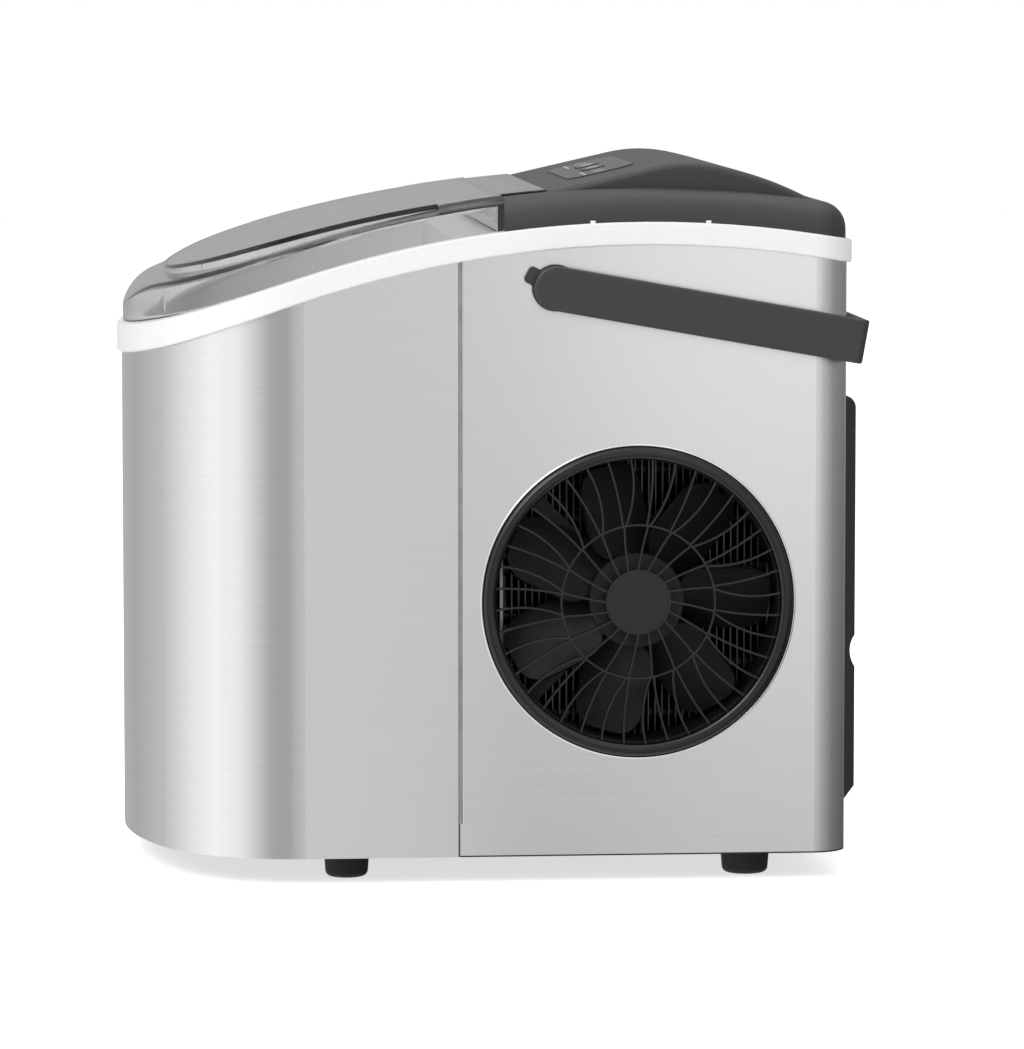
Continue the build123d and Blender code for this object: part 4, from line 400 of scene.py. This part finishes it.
def screw_tree(material):
    """Four chamfered screws with cross recesses, at the corners of a rectangle."""
    head_sizes = ("Head Radius", "Head Height", "Chamfer")
    recess_sizes = ("Recess Width", "Recess Length", "Recess Depth")
    other_sizes = ("Shank Radius", "Shank Length", "Across", "Up")
    tree, size = growing_tree("cross_screws", head_sizes + recess_sizes + other_sizes)
    height = size["Head Height"]
    top = add(tree, "ShaderNodeMath", {0: size["Head Radius"], 1: size["Chamfer"]}, operation="SUBTRACT")
    head = add(
        tree,
        "GeometryNodeMeshCone",
        {
            "Vertices": HEAD_SIDES,
            "Radius Top": top.outputs["Value"],
            "Radius Bottom": size["Head Radius"],
            "Depth": height,
        },
    )
    body = head.outputs["Mesh"]
    # The recess goes down from the head's top, with bars that stand twice as high as the head
    floor = add(tree, "ShaderNodeMath", {0: height, 1: size["Recess Depth"]}, operation="SUBTRACT")
    tall = add(tree, "ShaderNodeMath", {0: height, 1: 2.0}, operation="MULTIPLY")
    middle = add(tree, "ShaderNodeMath", {0: floor.outputs["Value"], 1: height}, operation="ADD")
    lift = add(tree, "ShaderNodeCombineXYZ", {"Z": middle.outputs["Value"]})
    for across, along in (("Recess Width", "Recess Length"), ("Recess Length", "Recess Width")):
        sides = {"X": size[across], "Y": size[along], "Z": tall.outputs["Value"]}
        shape = add(tree, "ShaderNodeCombineXYZ", sides)
        bar = add(tree, "GeometryNodeMeshCube", {"Size": shape.outputs["Vector"]})
        move = {"Geometry": bar.outputs["Mesh"], "Translation": lift.outputs["Vector"]}
        raised = add(tree, "GeometryNodeTransform", move)
        pair = {"Mesh 1": body, "Mesh 2": raised.outputs["Geometry"]}
        cut = add(tree, "GeometryNodeMeshBoolean", pair, operation="DIFFERENCE", solver="EXACT")
        body = cut.outputs["Mesh"]
    rod = {"Vertices": SHANK_SIDES, "Radius": size["Shank Radius"], "Depth": size["Shank Length"]}
    shank = add(tree, "GeometryNodeMeshCylinder", rod)
    half = add(tree, "ShaderNodeMath", {0: size["Shank Length"], 1: -0.5}, operation="MULTIPLY")
    drop = add(tree, "ShaderNodeCombineXYZ", {"Z": half.outputs["Value"]})
    move = {"Geometry": shank.outputs["Mesh"], "Translation": drop.outputs["Vector"]}
    lowered = add(tree, "GeometryNodeTransform", move)
    screw = add(tree, "GeometryNodeJoinGeometry", {"Geometry": body})
    tree.links.new(lowered.outputs["Geometry"], screw.inputs["Geometry"])
    corners = {"Size X": size["Across"], "Size Y": size["Up"], "Vertices X": 2, "Vertices Y": 2}
    places = add(tree, "GeometryNodeMeshGrid", corners)
    copies = {"Points": places.outputs["Mesh"], "Instance": screw.outputs["Geometry"]}
    four = add(tree, "GeometryNodeInstanceOnPoints", copies)
    end_tree(tree, four.outputs["Instances"], material)
    return tree


def mark_tree(material):
    """Short printed lines in a row, with rounded ends."""
    tree, size = growing_tree("printed_marks", ("Length", "Width", "Ink", "Spacing"))
    sides = {"Width": size["Length"], "Height": size["Width"]}
    line = add(tree, "GeometryNodeCurvePrimitiveQuadrilateral", sides)
    corner = add(tree, "ShaderNodeMath", {0: size["Width"], 1: MARK_ROUNDING}, operation="MULTIPLY")
    ends = {"Curve": line.outputs["Curve"], "Count": MARK_CORNER_POINTS, "Radius": corner.outputs["Value"]}
    rounded = add(tree, "GeometryNodeFilletCurve", ends, mode="POLY")
    sheet = add(tree, "GeometryNodeFillCurve", {"Curve": rounded.outputs["Curve"]}, mode="NGONS")
    print_up = {"Mesh": sheet.outputs["Mesh"], "Offset Scale": size["Ink"], "Individual": False}
    raised = add(tree, "GeometryNodeExtrudeMesh", print_up)
    back = add(tree, "GeometryNodeFlipFaces", {"Mesh": sheet.outputs["Mesh"]})
    closed = add(tree, "GeometryNodeJoinGeometry", {"Geometry": raised.outputs["Mesh"]})
    tree.links.new(back.outputs["Mesh"], closed.inputs["Geometry"])
    seam = {"Geometry": closed.outputs["Geometry"], "Distance": WELD * MM}
    joined = add(tree, "GeometryNodeMergeByDistance", seam)
    step = add(tree, "ShaderNodeCombineXYZ", {"X": size["Spacing"]})
    row = add(tree, "GeometryNodeMeshLine", {"Count": MARKS_IN_ROW, "Offset": step.outputs["Vector"]})
    copies = {"Points": row.outputs["Mesh"], "Instance": joined.outputs["Geometry"]}
    marks = add(tree, "GeometryNodeInstanceOnPoints", copies)
    end_tree(tree, marks.outputs["Instances"], material)
    return tree


def on_control_face(x, up, proud):
    """Place on the sloped control face, in millimetres from its middle."""
    middle = Matrix.Translation(Vector((0, CONTROL_Y, CONTROL_Z)) * MM)
    slope = Matrix.Rotation(math.radians(CONTROL_SLOPE), 4, "X")
    return middle @ slope @ Matrix.Translation(Vector((x, up, proud)) * MM)


def rolled_fan_edge():
    """Rolled steel edge of the fan opening: a thin bright line round the grille."""
    # Rolled stainless edge: smoother and brighter than the brushed face
    bright = plated("rolled_stainless", "#e2e2e2", "#f0f0f0", 0.16, 8.0)
    place = Matrix.Translation(Vector((SIDE_X, FAN_Y, FAN_Z)) * MM) @ Matrix.Rotation(math.pi / 2, 4, "Y")
    sizes = {"Ring Radius": FAN_HOLE_RADIUS + ROLLED_EDGE / 2, "Bead Radius": ROLLED_EDGE}
    edge = grow("rolled_fan_edge", ring_tree(bright), sizes, place)
    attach(edge, "casing")


def rear_screws():
    """Cross-recess screws in the rear panel."""
    low, high = (Vector(corner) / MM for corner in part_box("rear_panel_screws"))
    # Blackened screw steel: dark grey, with a little shine on the edges
    black = plated("blackened_screw_steel", "#2a2a2b", "#3a3a3b", 0.36, 1.5)
    sizes = {
        "Head Radius": SCREW_HEAD_RADIUS,
        "Head Height": SCREW_HEAD,
        "Chamfer": SCREW_CHAMFER,
        "Shank Radius": SCREW_RADIUS,
        "Shank Length": high.y - low.y - SCREW_HEAD,
        "Recess Width": RECESS_WIDTH,
        "Recess Length": RECESS_LENGTH,
        "Recess Depth": RECESS_DEPTH,
        "Across": high.x - low.x - 2 * SCREW_HEAD_RADIUS,
        "Up": high.z - low.z - 2 * SCREW_HEAD_RADIUS,
    }
    middle = Vector(((low.x + high.x) / 2, high.y - SCREW_HEAD, (low.z + high.z) / 2))
    place = Matrix.Translation(middle * MM) @ Matrix.Rotation(-math.pi / 2, 4, "X")
    screws = grow("rear_cross_screws", screw_tree(black), sizes, place)
    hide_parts("rear_panel_screws")
    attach(screws, "casing")


def control_print():
    """Plain printed marks beside the lights, and a ring on each button."""
    # Screen ink: flat and white, with a slightly uneven film
    ink = moulded("screen_ink", "#d9d9d9", "#e4e4e4", 0.55, 0.4, 0.002)
    marks = mark_tree(ink)
    sizes = {"Length": MARK_LENGTH, "Width": MARK_WIDTH, "Ink": INK, "Spacing": MARK_SPACING}
    for side, name in ((-1, "marks_left"), (1, "marks_right")):
        start = side * MARK_FROM_MIDDLE - MARK_SPACING
        place = on_control_face(start, -MARK_BELOW_LIGHTS, PANEL_PROUD - INK / 2)
        row = grow(name, marks, sizes, place)
        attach(row, "casing")
    rings = ring_tree(ink)
    sizes = {"Ring Radius": SYMBOL_RADIUS, "Bead Radius": SYMBOL_LINE / 2}
    for side, button in ((-1, "power_button"), (1, "select_button")):
        place = on_control_face(side * BUTTON_SPACING / 2, 0, BUTTON_TOP - SYMBOL_LINE / 4)
        ring = grow(button + "_ring", rings, sizes, place)
        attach(ring, button)


def wall_glow():
    """Glow that goes round by azimuth, and falls off towards the floor on the rear half."""
    material = bpy.data.materials.new("wall_glow")
    material.use_nodes = True
    tree = material.node_tree
    tree.nodes.clear()
    place = add(tree, "ShaderNodeTexCoord")
    split = add(tree, "ShaderNodeSeparateXYZ", {"Vector": place.outputs["Object"]})
    turn = add(tree, "ShaderNodeMath", {0: split.outputs["Y"], 1: split.outputs["X"]}, operation="ARCTAN2")
    full_turn = {"Value": turn.outputs["Value"], "From Min": -math.pi, "From Max": math.pi}
    share = add(tree, "ShaderNodeMapRange", full_turn)
    ramp = add(tree, "ShaderNodeValToRGB", {"Fac": share.outputs["Result"]})
    stops = ramp.color_ramp.elements
    while len(stops) < len(WALL_LEVELS):
        stops.new(0.5)
    for stop, (degrees, level) in zip(stops, WALL_LEVELS):
        stop.position = (degrees + 180) / 360
        stop.color = (level, level, level, 1)
    low = add(
        tree,
        "ShaderNodeMapRange",
        {
            "Value": split.outputs["Z"],
            "From Min": WALL_LOW * MM,
            "From Max": WALL_HIGH * MM,
            "To Min": 1.0,
            "To Max": 0.0,
        },
    )
    behind = add(
        tree,
        "ShaderNodeMapRange",
        {
            "Value": turn.outputs["Value"],
            "From Min": math.radians(WALL_DIM_FROM),
            "From Max": math.radians(WALL_DIM_TO),
        },
    )
    both = {0: low.outputs["Result"], 1: behind.outputs["Result"]}
    dim = add(tree, "ShaderNodeMath", both, operation="MULTIPLY")
    fall = add(
        tree,
        "ShaderNodeMapRange",
        {"Value": dim.outputs["Value"], "To Min": WALL_PEAK, "To Max": WALL_PEAK * WALL_FOOT},
    )
    glow = add(
        tree, "ShaderNodeEmission", {"Color": ramp.outputs["Color"], "Strength": fall.outputs["Result"]}
    )
    add(tree, "ShaderNodeOutputMaterial", {"Surface": glow.outputs["Emission"]})
    return material


def studio_wall():
    """Round studio wall that only reflections see: bright to the front, dim behind."""
    points = []
    faces = []
    for face in range(WALL_FACES):
        angle = 2 * math.pi * face / WALL_FACES
        x = WALL_RADIUS * math.cos(angle) * MM
        y = WALL_RADIUS * math.sin(angle) * MM
        points += [(x, y, -WALL_HEIGHT * MM), (x, y, WALL_HEIGHT * MM)]
        after = (face + 1) % WALL_FACES
        faces.append((2 * face, 2 * face + 1, 2 * after + 1, 2 * after))
    mesh = bpy.data.meshes.new("studio_wall")
    mesh.from_pydata(points, [], faces)
    wall = bpy.data.objects.new("studio_wall", mesh)
    bpy.context.collection.objects.link(wall)
    mesh.materials.append(wall_glow())
    for ray in ("visible_camera", "visible_diffuse", "visible_shadow", "visible_transmission"):
        setattr(wall, ray, False)


def seen_rays(tree):
    """One where a ray comes from the camera, a reflection or clear plastic, and else zero."""
    path = add(tree, "ShaderNodeLightPath")
    seen = path.outputs["Is Camera Ray"]
    for kind in ("Is Glossy Ray", "Is Transmission Ray"):
        seen = add(tree, "ShaderNodeMath", {0: seen, 1: path.outputs[kind]}, operation="MAXIMUM").outputs[0]
    return seen


def pale_floor():
    """Plain white floor that takes the object's shadow."""
    half = FLOOR_HALF * MM
    mesh = bpy.data.meshes.new("pale_floor")
    corners = [(-half, -half, 0), (half, -half, 0), (half, half, 0), (-half, half, 0)]
    mesh.from_pydata(corners, [], [(0, 1, 2, 3)])
    floor = bpy.data.objects.new("pale_floor", mesh)
    bpy.context.collection.objects.link(floor)
    material, tree, shader = finish("pale_floor", "#f7f7f7", 0.9)
    glow = add(tree, "ShaderNodeMath", {0: seen_rays(tree), 1: FLOOR_GLOW}, operation="MULTIPLY")
    shader.inputs["Emission Color"].default_value = (1, 1, 1, 1)
    tree.links.new(glow.outputs["Value"], shader.inputs["Emission Strength"])
    mesh.materials.append(material)
    floor.visible_glossy = False


def white_world():
    """White surroundings, at a plain level for the light they give."""
    world = bpy.data.worlds.new("white_studio")
    world.use_nodes = True
    tree = world.node_tree
    tree.nodes.clear()
    level = add(tree, "ShaderNodeMapRange", {"Value": seen_rays(tree), "To Min": WORLD_FILL, "To Max": 1.0})
    sky = add(tree, "ShaderNodeBackground", {"Color": (1, 1, 1, 1), "Strength": level.outputs["Result"]})
    add(tree, "ShaderNodeOutputWorld", {"Surface": sky.outputs["Background"]})
    bpy.context.scene.world = world


def soft_lamp(name, place, size, power):
    """Square soft box that points at the object."""
    light = bpy.data.lights.new(name, "AREA")
    light.shape = "SQUARE"
    light.size = size * MM
    light.energy = power
    lamp = bpy.data.objects.new(name, light)
    lamp.location = Vector(place) * MM
    toward = Vector(CAMERA_TARGET) * MM - lamp.location
    lamp.rotation_euler = toward.to_track_quat("-Z", "Y").to_euler()
    bpy.context.collection.objects.link(lamp)


def photo_camera():
    """Camera at the photograph's viewing angle."""
    azimuth = math.radians(CAMERA_AZIMUTH)
    elevation = math.radians(CAMERA_ELEVATION)
    back = Vector(
        (
            math.sin(azimuth) * math.cos(elevation),
            -math.cos(azimuth) * math.cos(elevation),
            math.sin(elevation),
        )
    )
    data = bpy.data.cameras.new("photo_camera")
    data.lens = CAMERA_LENS
    data.sensor_width = SENSOR
    camera = bpy.data.objects.new("photo_camera", data)
    camera.location = (Vector(CAMERA_TARGET) + back * CAMERA_DISTANCE) * MM
    camera.rotation_euler = (-back).to_track_quat("-Z", "Y").to_euler()
    bpy.context.collection.objects.link(camera)
    bpy.context.scene.camera = camera


dress_nodes()
rolled_fan_edge()
rear_screws()
control_print()
studio_wall()
pale_floor()
white_world()
soft_lamp("key_lamp", *KEY_LAMP)
soft_lamp("top_lamp", *TOP_LAMP)
photo_camera()
bpy.context.scene.view_settings.view_transform = "Standard"
